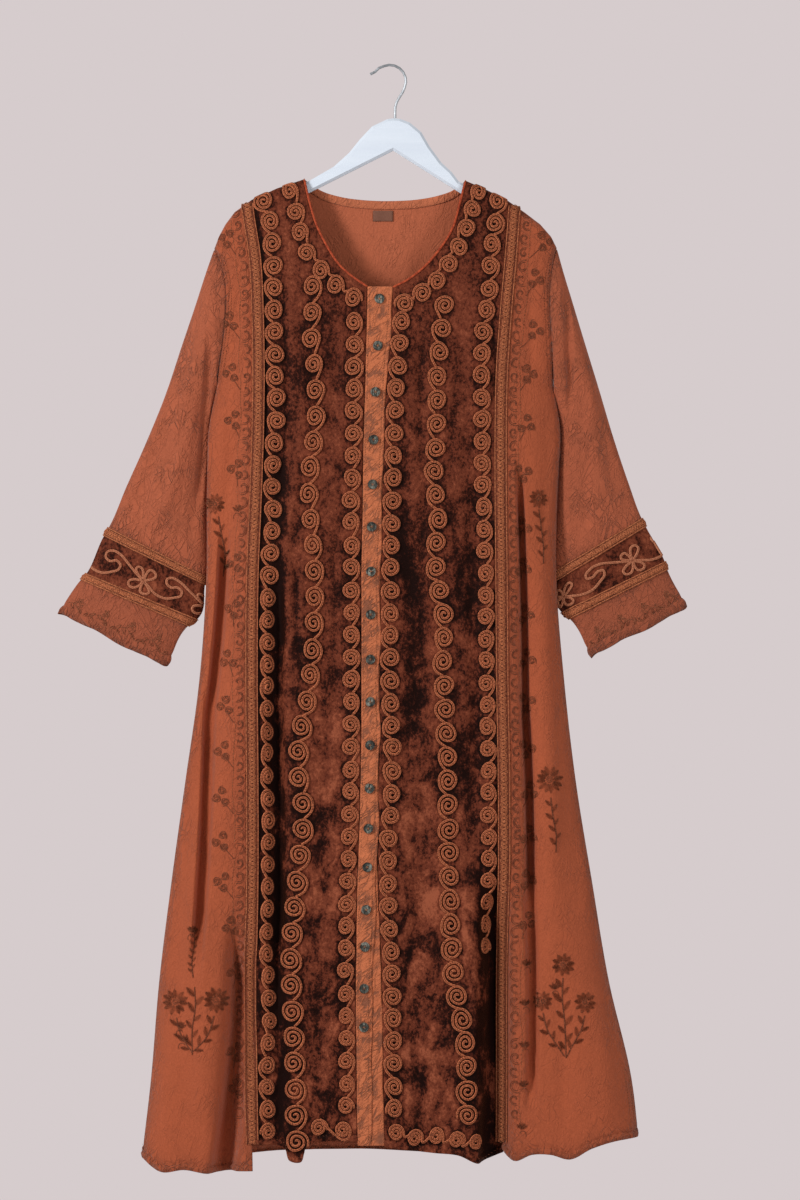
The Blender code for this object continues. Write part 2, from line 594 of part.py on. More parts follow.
def build_placket():
    top, gap = FRONT_NECK_L[-1][1], SEAM_GAP / 2
    outline = seam_points("placket_l", top, PLACKET_HEM, gap)
    outline += seam_points("placket_r", top, PLACKET_HEM, -gap)[::-1]
    wall("placket_over", outline, [], FRONT, BAND_OVER, CRINKLE, out=OVER_OUT)
    outline = seam_points("placket_l", top + UNDER_TOP, PLACKET_HEM, UNDER_INSET)
    outline += seam_points("velvet_r", top + UNDER_TOP, PLACKET_HEM, -gap)[::-1]
    wall("placket_under", outline, [], FRONT, BAND_UNDER, CRINKLE, out=UNDER_OUT)
    rim = BUTTON_RADIUS - BUTTON_RIM
    profile = ((0, 2.2), (rim, BUTTON_HEIGHT), (BUTTON_RADIUS, 1.2), (BUTTON_RADIUS - 0.6, 0), (0, 0))
    for number, drop in enumerate(BUTTON_DROPS, 1):
        middle = (seam("placket_l", drop) + seam("placket_r", drop)) / 2
        make_turned(f"button_{number:02d}", profile, middle, drop, OVER_OUT + LIFT)


def make_turned(name, profile, x, drop, out):
    """A turned piece that lies on the front cloth with its axis along the cloth's normal."""
    mesh = bpy.data.meshes.new(name)
    edges = [(i, i + 1) for i in range(len(profile) - 1)]
    mesh.from_pydata([(MM * r, 0, MM * h) for r, h in profile], edges, [])
    mesh.materials.append(SHELL)
    made = bpy.data.objects.new(name, mesh)
    KAFTAN.objects.link(made)
    turned = made.modifiers.new("turned", "SCREW")
    turned.steps = turned.render_steps = 8
    turned.use_merge_vertices = True
    turned.merge_threshold = 1e-5
    turned.use_normal_calculate = True
    x, drop = np.array([float(x)]), np.array([float(drop)])
    made.location = Vector(cloth(x, drop, FRONT, out)[0]) * MM
    made.rotation_euler = Vector(outward(x, drop, FRONT)[0]).to_track_quat("Z", "Y").to_euler()


def strip(name, rows, facing, out, thickness, material):
    """A narrow trim on the body's cloth: rows of (x, drop) across it, one row for each station."""
    width = len(rows[0])
    flat = np.array(rows, float)
    outer = cloth(flat[..., 0], flat[..., 1], facing, out + thickness)
    inner = cloth(flat[..., 0], flat[..., 1], facing, out)
    points = np.concatenate([outer.reshape(-1, 3), inner.reshape(-1, 3)])
    count, shift = len(rows), len(rows) * width
    faces = []
    for i in range(count - 1):
        for k in range(width - 1):
            a = i * width + k
            faces.append((a, a + 1, a + width + 1, a + width))
            faces.append((shift + a, shift + a + width, shift + a + width + 1, shift + a + 1))
    rim = [*range(width)] + [i * width + width - 1 for i in range(1, count)]
    rim += [(count - 1) * width + k for k in range(width - 2, -1, -1)]
    rim += [i * width for i in range(count - 2, 0, -1)]
    faces += [(a, shift + a, shift + b, b) for a, b in zip(rim, rim[1:] + rim[:1])]
    make_object(name, points, faces, material)


def build_braids():
    for name in ("braid_l", "braid_r"):
        rows = []
        for drop in [*levels(FIRST_LEVEL + LEVEL_STEP / 2, BRAID_END), BRAID_END]:
            middle = float(seam(name, drop))
            rows.append([(middle + k * BRAID_HALF_WIDTH, drop) for k in (-1, 0, 1)])
        strip(name, rows, FRONT, LIFT, BRAID_THICKNESS, BRAID)


def build_neck_trims():
    for name, rows in (("neck_piping_l", FRONT_NECK_L), ("neck_piping_r", FRONT_NECK_R[::-1])):
        flat = np.array(spaced(rows, TRIM_STEP), float)
        along = np.gradient(flat, axis=0)
        side = np.stack([along[:, 1], -along[:, 0]], axis=-1) * (1 if name.endswith("l") else -1)
        flat = (flat + side / np.linalg.norm(side, axis=1, keepdims=True) * PIPING_OUTSET)[1:]
        make_tube(name, cloth(flat[:, 0], flat[:, 1], FRONT, -VELVET / 2), PIPING_RADIUS, PIPING, 1)
    inside = -RAYON - LIFT
    rows = [[(x, drop), (x, drop + BINDING_WIDTH)] for x, drop in spaced(BACK_NECK[1:-1], TRIM_STEP)]
    strip("back_neck_binding", rows, BACK, inside - BINDING_THICKNESS, BINDING_THICKNESS, RUST)
    rows = [[(x, LABEL_TOP), (x, LABEL_BOTTOM)] for x in (LABEL_LEFT, LABEL_RIGHT)]
    strip("neck_label", rows, BACK, inside - LABEL_THICKNESS, LABEL_THICKNESS, LABEL)


def sleeve_ring(side, at, turn):
    """Points round a sleeve in millimetres, at a row number and an angle from the outer edge forward."""
    rows = SLEEVE[side]
    edges = np.array([row[:4] for row in rows])
    lengths = np.concatenate([[0], np.cumsum(np.linalg.norm(np.diff(edges, axis=0), axis=1))])
    place = np.interp(at, range(len(rows)), lengths)
    columns = [hermite(place, lengths, column) for column in zip(*rows)]
    outer_x, outer_drop, inner_x, inner_drop, half, back = columns
    share = (1 - np.cos(turn)) / 2
    first = rows[0]
    bow = armhole(side, share)[0] - (first.outer_x + (first.inner_x - first.outer_x) * share)
    x = outer_x + (inner_x - outer_x) * share + bow * np.clip(1 - at / 2.5, 0, 1) ** 2
    drop = outer_drop + (inner_drop - outer_drop) * share
    return np.stack([x, back - half * np.sin(turn), -drop], axis=-1)


def sleeve_outward(side, at, turn):
    step = 0.02
    around = sleeve_ring(side, at, turn + step) - sleeve_ring(side, at, turn - step)
    last = len(SLEEVE[side]) - 1
    along = sleeve_ring(side, min(at + step, last), turn) - sleeve_ring(side, max(at - step, 0), turn)
    normal = np.cross(around, along) * side
    if at == 0:
        normal = np.stack([0 * turn, -np.sin(turn), np.cos(turn)], axis=-1)
    return normal / np.linalg.norm(normal, axis=-1, keepdims=True)


def tube(name, side, stations, out, thickness, material, raised=None):
    """An open tube of cloth round the sleeve's form."""
    around = RING_POINTS
    turn = np.linspace(0, 2 * math.pi, around, endpoint=False)
    outer, inner = [], []
    for at in stations:
        ring = sleeve_ring(side, at, turn)
        if at == 0:
            ring[:, 0] += side * SEAM_GAP
        normal = sleeve_outward(side, round(at, 1), turn)
        lift = np.zeros(around) if raised is None else raised(at, turn)
        outer.append(ring + normal * (out + lift)[:, None])
        inner.append(ring + normal * (out - thickness))
    points = np.concatenate(outer + inner)
    count = len(stations)
    shift = count * around
    faces = []
    for i in range(count - 1):
        for k in range(around):
            a, b = i * around + k, i * around + (k + 1) % around
            faces.append((a, a + around, b + around, b))
            faces.append((shift + a, shift + b, shift + b + around, shift + a + around))
    for k in range(around):
        a, b = k, (k + 1) % around
        faces.append((a, b, shift + b, shift + a))
        a, b = a + (count - 1) * around, b + (count - 1) * around
        faces.append((b, a, shift + a, shift + b))
    make_object(name, points, faces, material)


def scroll_height(at, turn):
    """How far the cord scrolls stand out, evenly spaced round the velvet band."""
    across = (at - BAND_START) / (BAND_END - BAND_START)
    beat = np.cos(turn * SCROLLS)
    return SCROLL_HEIGHT * (0.3 < across < 0.7) * (beat > 0)


def build_sleeves():
    upper = [BAND_START - 0.5, BAND_START, BAND_START + 0.5]
    lower = [BAND_END - 0.5, BAND_END, BAND_END + 0.5]
    arm = [0, 0.5, 1, 1.5, 2, 3, 4, 5, 6, upper[0], BAND_START - ROW_GAP]
    band = [BAND_START + ROW_GAP, upper[-1], 8.3, 8.7, lower[0], BAND_END - ROW_GAP]
    cuff = [BAND_END + ROW_GAP, lower[-1], 10.5, CUFF_END]
    braid_out = BRAID_THICKNESS + SLEEVE_BRAID_LIFT
    for side, mark in ((LEFT, "l"), (RIGHT, "r")):
        tube(f"sleeve_{mark}", side, arm, 0, RAYON, RUST)
        tube(f"sleeve_velvet_{mark}", side, band, 0, VELVET, VELVET_BROWN, raised=scroll_height)
        tube(f"cuff_{mark}", side, cuff, 0, RAYON, EMBROIDERED)
        tube(f"sleeve_braid_upper_{mark}", side, upper, braid_out, BRAID_THICKNESS, BRAID)
        tube(f"sleeve_braid_lower_{mark}", side, lower, braid_out, BRAID_THICKNESS, BRAID)


def make_tube(name, points, radius, material, resolution):
    curve = bpy.data.curves.new(name, "CURVE")
    curve.dimensions = "3D"
    curve.bevel_depth = radius * MM
    curve.bevel_resolution = resolution
    curve.use_fill_caps = True
    spline = curve.splines.new("POLY")
    spline.points.add(len(points) - 1)
    for point, place in zip(spline.points, points):
        point.co = (*(MM * c for c in place), 1)
    curve.materials.append(material)
    KAFTAN.objects.link(bpy.data.objects.new(name, curve))


def build_hanger():
    """A flat wooden hanger: an outline with thickness, and a bent wire hook above it."""
    arm_r = [(x, float(shoulder_drop(x)) + ARM_BELOW_FOLD) for x in SHOULDER_COLUMNS if 100 < x < ARM_TIP_R]
    arm_l = [(x, float(shoulder_drop(x)) + ARM_BELOW_FOLD) for x in SHOULDER_COLUMNS if ARM_TIP_L < x < -100]
    tip_r, tip_l = arm_r[-1], arm_l[0]
    outline = [*HANGER_CAP, *HANGER_TOP_R, *arm_r]
    outline += [(ARM_TIP_R, tip_r[1] + TIP_ROUND), (ARM_TIP_R - TIP_ROUND, tip_r[1] + ARM_DEPTH)]
    outline += [HANGER_LOW_R, HANGER_NOTCH, HANGER_LOW_L]
    outline += [(ARM_TIP_L + TIP_ROUND, tip_l[1] + ARM_DEPTH), (ARM_TIP_L, tip_l[1] + TIP_ROUND)]
    outline += [*arm_l, *HANGER_TOP_L]
    curve = bpy.data.curves.new("hanger", "CURVE")
    curve.dimensions = "2D"
    curve.fill_mode = "BOTH"
    curve.extrude = (HANGER_THICKNESS / 2 - HANGER_EDGE) * MM
    curve.bevel_depth = HANGER_EDGE * MM
    curve.bevel_resolution = 0
    curve.offset = -HANGER_EDGE * MM
    spline = curve.splines.new("POLY")
    spline.use_cyclic_u = True
    spline.points.add(len(outline) - 1)
    for point, (x, drop) in zip(spline.points, outline):
        point.co = (MM * x, -MM * drop, 0, 1)
    curve.materials.append(WHITE_WOOD)
    hanger = bpy.data.objects.new("hanger", curve)
    hanger.rotation_euler = (math.radians(90), 0, 0)
    KAFTAN.objects.link(hanger)
    crown = []
    for turn in np.radians(np.linspace(*HOOK_ARC_TURNS)):
        x = HOOK_ARC_X + HOOK_ARC_RADIUS * math.cos(turn)
        crown.append((x, -WIRE_RADIUS + HOOK_ARC_RADIUS * (1 - math.sin(turn))))
    bends = [*HOOK_TIP, *crown, *HOOK_STEM]
    make_tube("hook", [(x, 0, -drop) for x, drop in spaced(bends, HOOK_STEP)], WIRE_RADIUS, CHROME, 2)


def clear_scene():
    for old in list(bpy.data.objects):
        bpy.data.objects.remove(old, do_unlink=True)


def make_material(name, color, roughness, metallic=0.0):
    material = bpy.data.materials.new(name)
    material.use_nodes = True
    shader = material.node_tree.nodes["Principled BSDF"]
    shader.inputs["Base Color"].default_value = (*color, 1)
    shader.inputs["Roughness"].default_value = roughness
    shader.inputs["Metallic"].default_value = metallic
    return material


clear_scene()
KAFTAN = bpy.data.collections.new("kaftan")
bpy.context.scene.collection.children.link(KAFTAN)
RUST = make_material("rust_rayon", (0.39, 0.105, 0.035), 0.75)
VELVET_BROWN = make_material("crushed_velvet", (0.09, 0.018, 0.007), 0.6)
CRINKLE = make_material("crinkled_band", (0.45, 0.12, 0.035), 0.75)
EMBROIDERED = make_material("embroidered_rayon", (0.33, 0.09, 0.035), 0.8)
BRAID = make_material("woven_braid", (0.28, 0.07, 0.025), 0.8)
PIPING = make_material("neck_piping", (0.42, 0.06, 0.025), 0.7)
LABEL = make_material("woven_label", (0.2, 0.07, 0.035), 0.85)
SHELL = make_material("button_shell", (0.05, 0.045, 0.035), 0.25)
WHITE_WOOD = make_material("white_wood", (0.85, 0.87, 0.9), 0.4)
CHROME = make_material("hook_wire", (0.6, 0.6, 0.62), 0.2, 1.0)

build_side_fronts()
build_velvet_fronts()
build_back()
build_placket()
build_braids()
build_neck_trims()
build_sleeves()
build_hanger()
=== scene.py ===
"""The looks of a long button-front kaftan with corded velvet front panels, on a flat wooden hanger.

Names that end in _l and _r mean the left and right of a viewer who faces the front.
Tables are in millimetres: x runs to the viewer's right, drop is the distance below the hook's crown.
"""

import json
import math
from collections import namedtuple

import bpy
import numpy as np
from mathutils import Vector
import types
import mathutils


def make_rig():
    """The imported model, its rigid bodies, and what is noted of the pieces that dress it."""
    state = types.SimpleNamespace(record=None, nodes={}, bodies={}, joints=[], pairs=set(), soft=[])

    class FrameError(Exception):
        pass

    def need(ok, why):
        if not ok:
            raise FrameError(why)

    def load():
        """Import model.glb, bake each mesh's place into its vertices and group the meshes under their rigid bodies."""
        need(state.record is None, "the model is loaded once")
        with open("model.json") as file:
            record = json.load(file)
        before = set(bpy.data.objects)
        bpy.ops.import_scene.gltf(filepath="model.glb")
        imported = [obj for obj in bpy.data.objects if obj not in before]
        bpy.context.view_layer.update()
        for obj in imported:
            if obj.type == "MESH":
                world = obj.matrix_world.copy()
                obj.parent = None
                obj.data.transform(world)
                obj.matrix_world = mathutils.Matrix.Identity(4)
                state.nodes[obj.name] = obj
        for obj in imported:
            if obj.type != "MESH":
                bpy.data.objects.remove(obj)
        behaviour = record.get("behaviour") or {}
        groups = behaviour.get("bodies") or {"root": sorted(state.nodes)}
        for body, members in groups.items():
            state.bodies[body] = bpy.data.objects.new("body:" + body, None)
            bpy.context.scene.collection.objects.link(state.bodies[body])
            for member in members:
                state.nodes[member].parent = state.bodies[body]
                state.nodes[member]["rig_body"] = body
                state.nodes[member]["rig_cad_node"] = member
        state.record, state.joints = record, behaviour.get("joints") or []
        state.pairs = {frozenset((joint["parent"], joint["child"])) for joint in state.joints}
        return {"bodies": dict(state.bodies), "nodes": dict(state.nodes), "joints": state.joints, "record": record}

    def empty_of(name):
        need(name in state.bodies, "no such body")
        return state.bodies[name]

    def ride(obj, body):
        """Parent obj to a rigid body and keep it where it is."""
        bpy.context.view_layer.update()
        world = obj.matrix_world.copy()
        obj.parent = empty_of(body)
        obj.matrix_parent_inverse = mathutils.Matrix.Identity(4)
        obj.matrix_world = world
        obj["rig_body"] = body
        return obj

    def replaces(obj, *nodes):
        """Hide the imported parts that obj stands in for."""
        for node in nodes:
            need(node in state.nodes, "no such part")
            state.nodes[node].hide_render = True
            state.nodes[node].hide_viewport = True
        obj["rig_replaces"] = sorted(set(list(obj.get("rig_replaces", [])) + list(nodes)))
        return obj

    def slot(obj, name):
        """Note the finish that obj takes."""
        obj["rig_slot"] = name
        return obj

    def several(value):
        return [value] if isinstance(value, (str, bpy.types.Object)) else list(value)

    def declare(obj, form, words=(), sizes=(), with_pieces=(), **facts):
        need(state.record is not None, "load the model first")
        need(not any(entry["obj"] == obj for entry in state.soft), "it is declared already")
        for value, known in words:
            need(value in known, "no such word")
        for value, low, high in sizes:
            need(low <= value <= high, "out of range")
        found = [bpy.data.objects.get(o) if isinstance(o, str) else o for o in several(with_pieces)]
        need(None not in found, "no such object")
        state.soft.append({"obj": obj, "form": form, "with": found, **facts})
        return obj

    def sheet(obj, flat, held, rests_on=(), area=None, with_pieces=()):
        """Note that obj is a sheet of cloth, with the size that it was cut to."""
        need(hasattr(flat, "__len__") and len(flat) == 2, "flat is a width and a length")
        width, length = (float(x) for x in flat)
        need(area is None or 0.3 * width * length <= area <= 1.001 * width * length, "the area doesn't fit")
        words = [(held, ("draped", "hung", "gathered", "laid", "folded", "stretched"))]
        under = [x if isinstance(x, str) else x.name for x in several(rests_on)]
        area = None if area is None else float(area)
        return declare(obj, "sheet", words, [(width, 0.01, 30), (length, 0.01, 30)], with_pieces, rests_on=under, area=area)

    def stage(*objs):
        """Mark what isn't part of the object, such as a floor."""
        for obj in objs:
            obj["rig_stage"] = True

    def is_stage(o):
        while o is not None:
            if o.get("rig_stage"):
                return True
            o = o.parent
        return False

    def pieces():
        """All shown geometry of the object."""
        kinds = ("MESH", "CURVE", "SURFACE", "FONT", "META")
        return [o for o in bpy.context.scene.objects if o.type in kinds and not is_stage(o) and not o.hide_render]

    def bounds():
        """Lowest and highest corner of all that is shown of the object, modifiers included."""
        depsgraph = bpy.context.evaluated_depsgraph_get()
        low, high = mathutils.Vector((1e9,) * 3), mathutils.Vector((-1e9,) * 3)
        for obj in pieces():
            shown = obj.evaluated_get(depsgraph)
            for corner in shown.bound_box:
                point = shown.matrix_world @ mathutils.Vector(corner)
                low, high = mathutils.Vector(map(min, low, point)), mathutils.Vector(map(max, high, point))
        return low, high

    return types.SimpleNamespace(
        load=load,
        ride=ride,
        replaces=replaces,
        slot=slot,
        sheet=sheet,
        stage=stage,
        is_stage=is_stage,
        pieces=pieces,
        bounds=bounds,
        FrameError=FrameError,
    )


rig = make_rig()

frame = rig.load()
CAD_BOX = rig.bounds()

MM = 0.001
FRONT, BACK = -1, 1
LEFT, RIGHT = -1, 1

# The form of the body, as in the solids
SEAM_GAP = 0.3
LIFT = 0.5
SHOULDER_ROLL = 12.0
SHOULDER_LEAN = 0.16
SHOULDER_BLEND = 12.0
SIDE_ROLL = 70.0
LAST_LEVEL = 1440.0
Level = namedtuple(
    "Level", "drop side_l braid_l placket_l placket_r velvet_r braid_r side_r front back"
)
LEVELS = (
    Level(150, -226, -187, -28, 5, 5, 165, 214, 20, 16),
    Level(183, -226, -184, -28, 5, 5, 163, 214, 21, 17),
    Level(250, -225, -174, -28, 5, 5, 158, 214, 23, 18),
    Level(330, -225, -170, -29, 3, 3, 151, 214, 26, 20),
    Level(412, -225, -169, -31, -3, -3, 146, 215, 28, 22),
    Level(475, -236, -170, -33, -6, -6, 145, 224, 29, 23),
    Level(540, -238, -172, -34, -8, -8, 145, 221, 30, 23),
    Level(670, -239, -177, -36, -11, -11, 146, 219, 33, 24),
    Level(800, -248, -178, -36, -12, -12, 147, 229, 36, 26),
    Level(930, -266, -177, -37, -13, -13, 149, 244, 39, 28),
    Level(1060, -284, -177, -41, -16, -14, 149, 265, 42, 30),
    Level(1190, -300, -179, -43, -21, -9, 147, 287, 45, 32),
    Level(1320, -311, -178, -42, -22, -7, 147, 317, 48, 34),
    Level(1440, -325, -176, -40, -22, -5, 146, 329, 50, 35),
)
DROPS = [row.drop for row in LEVELS]
SLIT_TOP = 1310.0
SLIT_OPENING = 5.0
SLIT_EASE = 120.0
SHOULDER = (
    (-227.5, 238), (-221, 221), (-213, 206), (-201, 190), (-179, 174), (-146, 159), (-110.5, 147),
    (99.6, 149), (123, 159), (153, 174), (176, 190), (197, 206), (211, 222), (218.4, 237),
)  # fmt: skip
ARMHOLE = {
    LEFT: ((-227.5, 238), (-219, 258), (-213, 284), (-212, 307), (-214, 340), (-217, 364), (-225, 412)),
    RIGHT: ((218.4, 237), (214, 255), (210.5, 275), (209, 310), (211, 350), (213, 390), (215, 425)),
}
ARMHOLE_DEPTH = 16.0
FRONT_NECK_L = ((-110.5, 147), (-104.5, 173), (-94, 208), (-79, 238), (-65, 259), (-46, 276), (-28, 288))
FRONT_NECK_R = ((5, 289), (26, 278), (45, 263), (66, 239), (82, 213), (92, 179), (99.6, 149))
BACK_NECK = (
    (-110.5, 147), (-88, 162), (-62, 170), (-32, 174), (5, 175), (38, 173), (68, 167), (82, 162), (99.6, 149)
)  # fmt: skip
HEM_SIDE_L = ((-322, 1418), (-294, 1436), (-266, 1433), (-233, 1438), (-200, 1435), (-176, 1434))
HEM_VELVET_L = (
    (-176, 1400), (-150, 1400), (-136, 1404), (-128, 1421), (-114, 1423), (-106, 1402), (-76, 1395), (-40, 1396)
)  # fmt: skip
HEM_VELVET_R = ((-5, 1403), (26, 1407), (60, 1411), (90, 1414), (118, 1425), (146, 1412))
HEM_SIDE_R = (
    (146, 1408), (162, 1421), (185, 1413), (210, 1413), (234, 1419), (264, 1405), (290, 1397), (327, 1392)
)  # fmt: skip
HEM_BACK = (
    (-322, 1412), (-240, 1420), (-140, 1414), (-40, 1412), (60, 1416), (160, 1412), (250, 1404), (327, 1389)
)  # fmt: skip
PLACKET_HEM = 1401.0
Fold = namedtuple("Fold", "facing top_drop top_x mid_drop mid_x end_drop end_x width end_width depth")
FOLDS = (
    Fold(FRONT, 400, -200, 700, -217, 1020, -252, 15, 20, 11),
    Fold(FRONT, 1080, -197, 1250, -203, 1440, -212, 9, 18, 18),
    Fold(FRONT, 620, -142, 1000, -145, 1440, -144, 15, 15, 8),
    Fold(FRONT, 420, 112, 750, 113, 1060, 116, 15, 15, 7),
    Fold(FRONT, 1020, 141, 1200, 139, 1440, 139, 15, 18, 21),
    Fold(FRONT, 560, 174, 840, 181, 1240, 192, 12, 16, 10),
    Fold(FRONT, 700, 212, 900, 228, 1150, 246, 16, 22, 6),
    Fold(FRONT, 500, 40, 900, 48, 1440, 58, 26, 34, 4),
    Fold(FRONT, 600, -78, 1000, -84, 1440, -86, 26, 32, 4),
    Fold(FRONT, 1000, -285, 1200, -272, 1440, -262, 18, 24, 5),
    Fold(BACK, 420, -120, 900, -150, 1440, -190, 24, 34, 9),
    Fold(BACK, 330, -30, 900, -50, 1440, -70, 24, 36, 8),
    Fold(BACK, 380, 60, 900, 70, 1440, 80, 24, 34, 9),
    Fold(BACK, 420, 130, 900, 160, 1440, 210, 24, 34, 8),
)
Ring = namedtuple("Ring", "outer_x outer_drop inner_x inner_drop half back")
SLEEVE = {
    LEFT: (
        Ring(-227.5, 238, -225, 412, ARMHOLE_DEPTH, 0),
        Ring(-238, 268, -223.5, 417, 20, 0),
        Ring(-252, 311, -224.3, 424, 23, 3),
        Ring(-269, 361, -226.5, 437, 24, 6),
        Ring(-290, 424, -233, 466, 23, 8),
        Ring(-315, 486, -236, 525, 20, 9),
        Ring(-343, 549, -237, 604, 17, 9),
        Ring(-365, 600, -238, 664, 14, 9),
        Ring(-372, 612, -240, 676, 14, 9),
        Ring(-394, 660, -249, 719, 13, 8),
        Ring(-402, 669, -262, 729, 13, 8),
        Ring(-432, 713, -290, 784, 11, 8),
    ),
    RIGHT: (
        Ring(218.4, 237, 215, 425, ARMHOLE_DEPTH, 0),
        Ring(227, 268, 213.8, 429, 20, 0),
        Ring(238, 304, 215.2, 437, 23, 3),
        Ring(252, 350, 217.5, 448, 24, 6),
        Ring(272, 415, 222, 475, 23, 8),
        Ring(292, 482, 220, 530, 20, 9),
        Ring(313, 545, 217.5, 598, 17, 9),
        Ring(329, 588, 217, 656, 14, 9),
        Ring(335, 600, 218, 671, 14, 9),
        Ring(359, 644, 224, 710, 13, 8),
        Ring(363, 656, 236, 720, 13, 8),
        Ring(390, 706, 264, 771, 11, 8),
    ),
}
BAND_START, BAND_END, CUFF_END = 7.5, 9.5, 11.0

# Small creases: soft troughs along a line, or ridges where the depth is negative
# A power of 4 gives a pleat with steep sides and a flat bottom
Crease = namedtuple("Crease", "facing x drop end_x end_drop width depth power", defaults=(2,))
CREASES = (
    Crease(FRONT, -213, 590, -235, 870, 7, 20, 6),
    Crease(FRONT, -232, 780, -252, 1200, 8, 20, 6),
    Crease(FRONT, -186, 1130, -216, 1438, 15, 21, 6),
    Crease(FRONT, -262, 640, -276, 1010, 10, -3.5),
    Crease(FRONT, -262, 900, -284, 1240, 10, 3.0),
    Crease(FRONT, 168, 500, 177, 900, 5, 20, 6),
    Crease(FRONT, 175, 800, 183, 1120, 6, 20, 6),
    Crease(FRONT, 182, 1060, 183, 1370, 7, 14, 6),
    Crease(FRONT, 198, 640, 216, 1060, 10, -3.0),
    Crease(FRONT, 223, 560, 250, 1130, 12, 4),
    Crease(FRONT, 135, 1050, 136, 1438, 15, 11, 4),
    Crease(FRONT, -149, 600, -148, 1280, 7, 8),
    Crease(FRONT, -250, 306, -309, 536, 12, 4.5),
    Crease(FRONT, -232, 330, -252, 600, 5, 4.5, 4),
    Crease(FRONT, -268, 470, -300, 600, 9, -3.2),
    Crease(FRONT, -300, 480, -334, 596, 9, 3.2),
    Crease(FRONT, 227, 280, 236, 460, 5, 4.0, 4),
    Crease(FRONT, 240, 300, 272, 500, 10, -3.0),
    Crease(FRONT, 238, 420, 258, 620, 9, 3.6),
    Crease(FRONT, 262, 440, 302, 596, 10, 3.4),
    Crease(FRONT, -222, 330, -262, 520, 8, 3.0),
    Crease(FRONT, -236, 360, -300, 560, 9, 2.6),
    Crease(FRONT, -244, 400, -262, 640, 7, 2.4),
    Crease(FRONT, -300, 618, -284, 575, 4, 1.5),
    Crease(FRONT, -325, 600, -306, 556, 4, 1.4),
    Crease(FRONT, -341, 590, -318, 540, 5, 1.2),
    Crease(FRONT, -276, 632, -268, 586, 4, 1.2),
    Crease(FRONT, -350, 668, -352, 712, 4, 1.3),
    Crease(FRONT, -310, 690, -302, 742, 5, 1.5),
    Crease(FRONT, -380, 680, -388, 716, 4, 1.0),
    Crease(FRONT, 222, 330, 240, 520, 9, 3.2),
    Crease(FRONT, 230, 360, 268, 560, 8, 2.6),
    Crease(FRONT, 226, 420, 246, 640, 7, 2.4),
    Crease(FRONT, 262, 604, 254, 560, 4, 1.4),
    Crease(FRONT, 291, 596, 280, 552, 4, 1.3),
    Crease(FRONT, 312, 580, 306, 540, 4, 1.0),
    Crease(FRONT, 300, 672, 306, 722, 5, 1.4),
    Crease(FRONT, 338, 660, 350, 700, 4, 1.1),
    Crease(FRONT, 262, 690, 274, 740, 4, 1.2),
    Crease(FRONT, -196, 262, -206, 392, 7, 3.4),
    Crease(FRONT, -208, 300, -222, 470, 8, 2.6),
    Crease(FRONT, 178, 250, 184, 420, 6, 2.4),
    Crease(FRONT, 196, 262, 200, 430, 7, -1.8),
    Crease(FRONT, 206, 420, 196, 640, 9, 2.6),
    Crease(FRONT, -230, 460, -226, 640, 8, 2.2),
    Crease(FRONT, -136, 330, -140, 600, 9, 2.4),
    Crease(FRONT, -72, 320, -76, 520, 10, 2.0),
    Crease(FRONT, -70, 760, -64, 1010, 9, 2.2),
    Crease(FRONT, -96, 960, -88, 1230, 11, -2.0),
    Crease(FRONT, 36, 330, 40, 560, 9, 2.0),
    Crease(FRONT, 96, 330, 92, 620, 10, 2.4),
    Crease(FRONT, 44, 900, 36, 1210, 11, 2.2),
    Crease(FRONT, 104, 1090, 112, 1330, 8, -2.4),
    Crease(FRONT, -300, 1180, -312, 1410, 10, 2.6),
    Crease(FRONT, -250, 1120, -244, 1400, 12, -2.4),
    Crease(FRONT, 214, 1150, 226, 1410, 12, 2.8),
    Crease(FRONT, 258, 1180, 284, 1390, 12, -2.2),
    Crease(FRONT, 292, 1250, 308, 1390, 8, 2.0),
    Crease(BACK, -222, 320, -268, 520, 9, 3.0),
    Crease(BACK, -240, 380, -300, 590, 9, 2.4),
    Crease(BACK, -262, 520, -270, 650, 7, 2.0),
    Crease(BACK, -310, 612, -290, 560, 5, 1.4),
    Crease(BACK, -336, 690, -338, 736, 5, 1.2),
    Crease(BACK, 222, 320, 246, 520, 9, 3.0),
    Crease(BACK, 236, 380, 280, 580, 9, 2.2),
    Crease(BACK, 246, 540, 254, 650, 7, 1.8),
    Crease(BACK, 300, 604, 286, 556, 5, 1.4),
    Crease(BACK, 304, 680, 312, 730, 5, 1.2),
    Crease(BACK, -190, 230, -120, 420, 12, 2.6),
    Crease(BACK, 180, 230, 116, 420, 12, 2.6),
    Crease(BACK, -206, 330, -176, 560, 9, 2.2),
    Crease(BACK, 204, 330, 176, 560, 9, 2.2),
    Crease(BACK, -84, 200, -70, 420, 13, -1.6),
    Crease(BACK, 20, 210, 12, 470, 14, 1.8),
    Crease(BACK, -270, 1120, -292, 1400, 11, 2.4),
    Crease(BACK, 256, 1120, 292, 1370, 11, 2.4),
    Crease(BACK, 0, 900, 6, 1380, 14, -2.2),
    Crease(BACK, -150, 620, -196, 1200, 9, 7, 4),
    Crease(BACK, -40, 520, -58, 1080, 9, 5),
    Crease(BACK, 64, 600, 76, 1438, 10, 6, 4),
    Crease(BACK, 150, 560, 186, 1438, 10, 7, 4),
    Crease(BACK, -96, 860, -116, 1438, 12, 6),
)

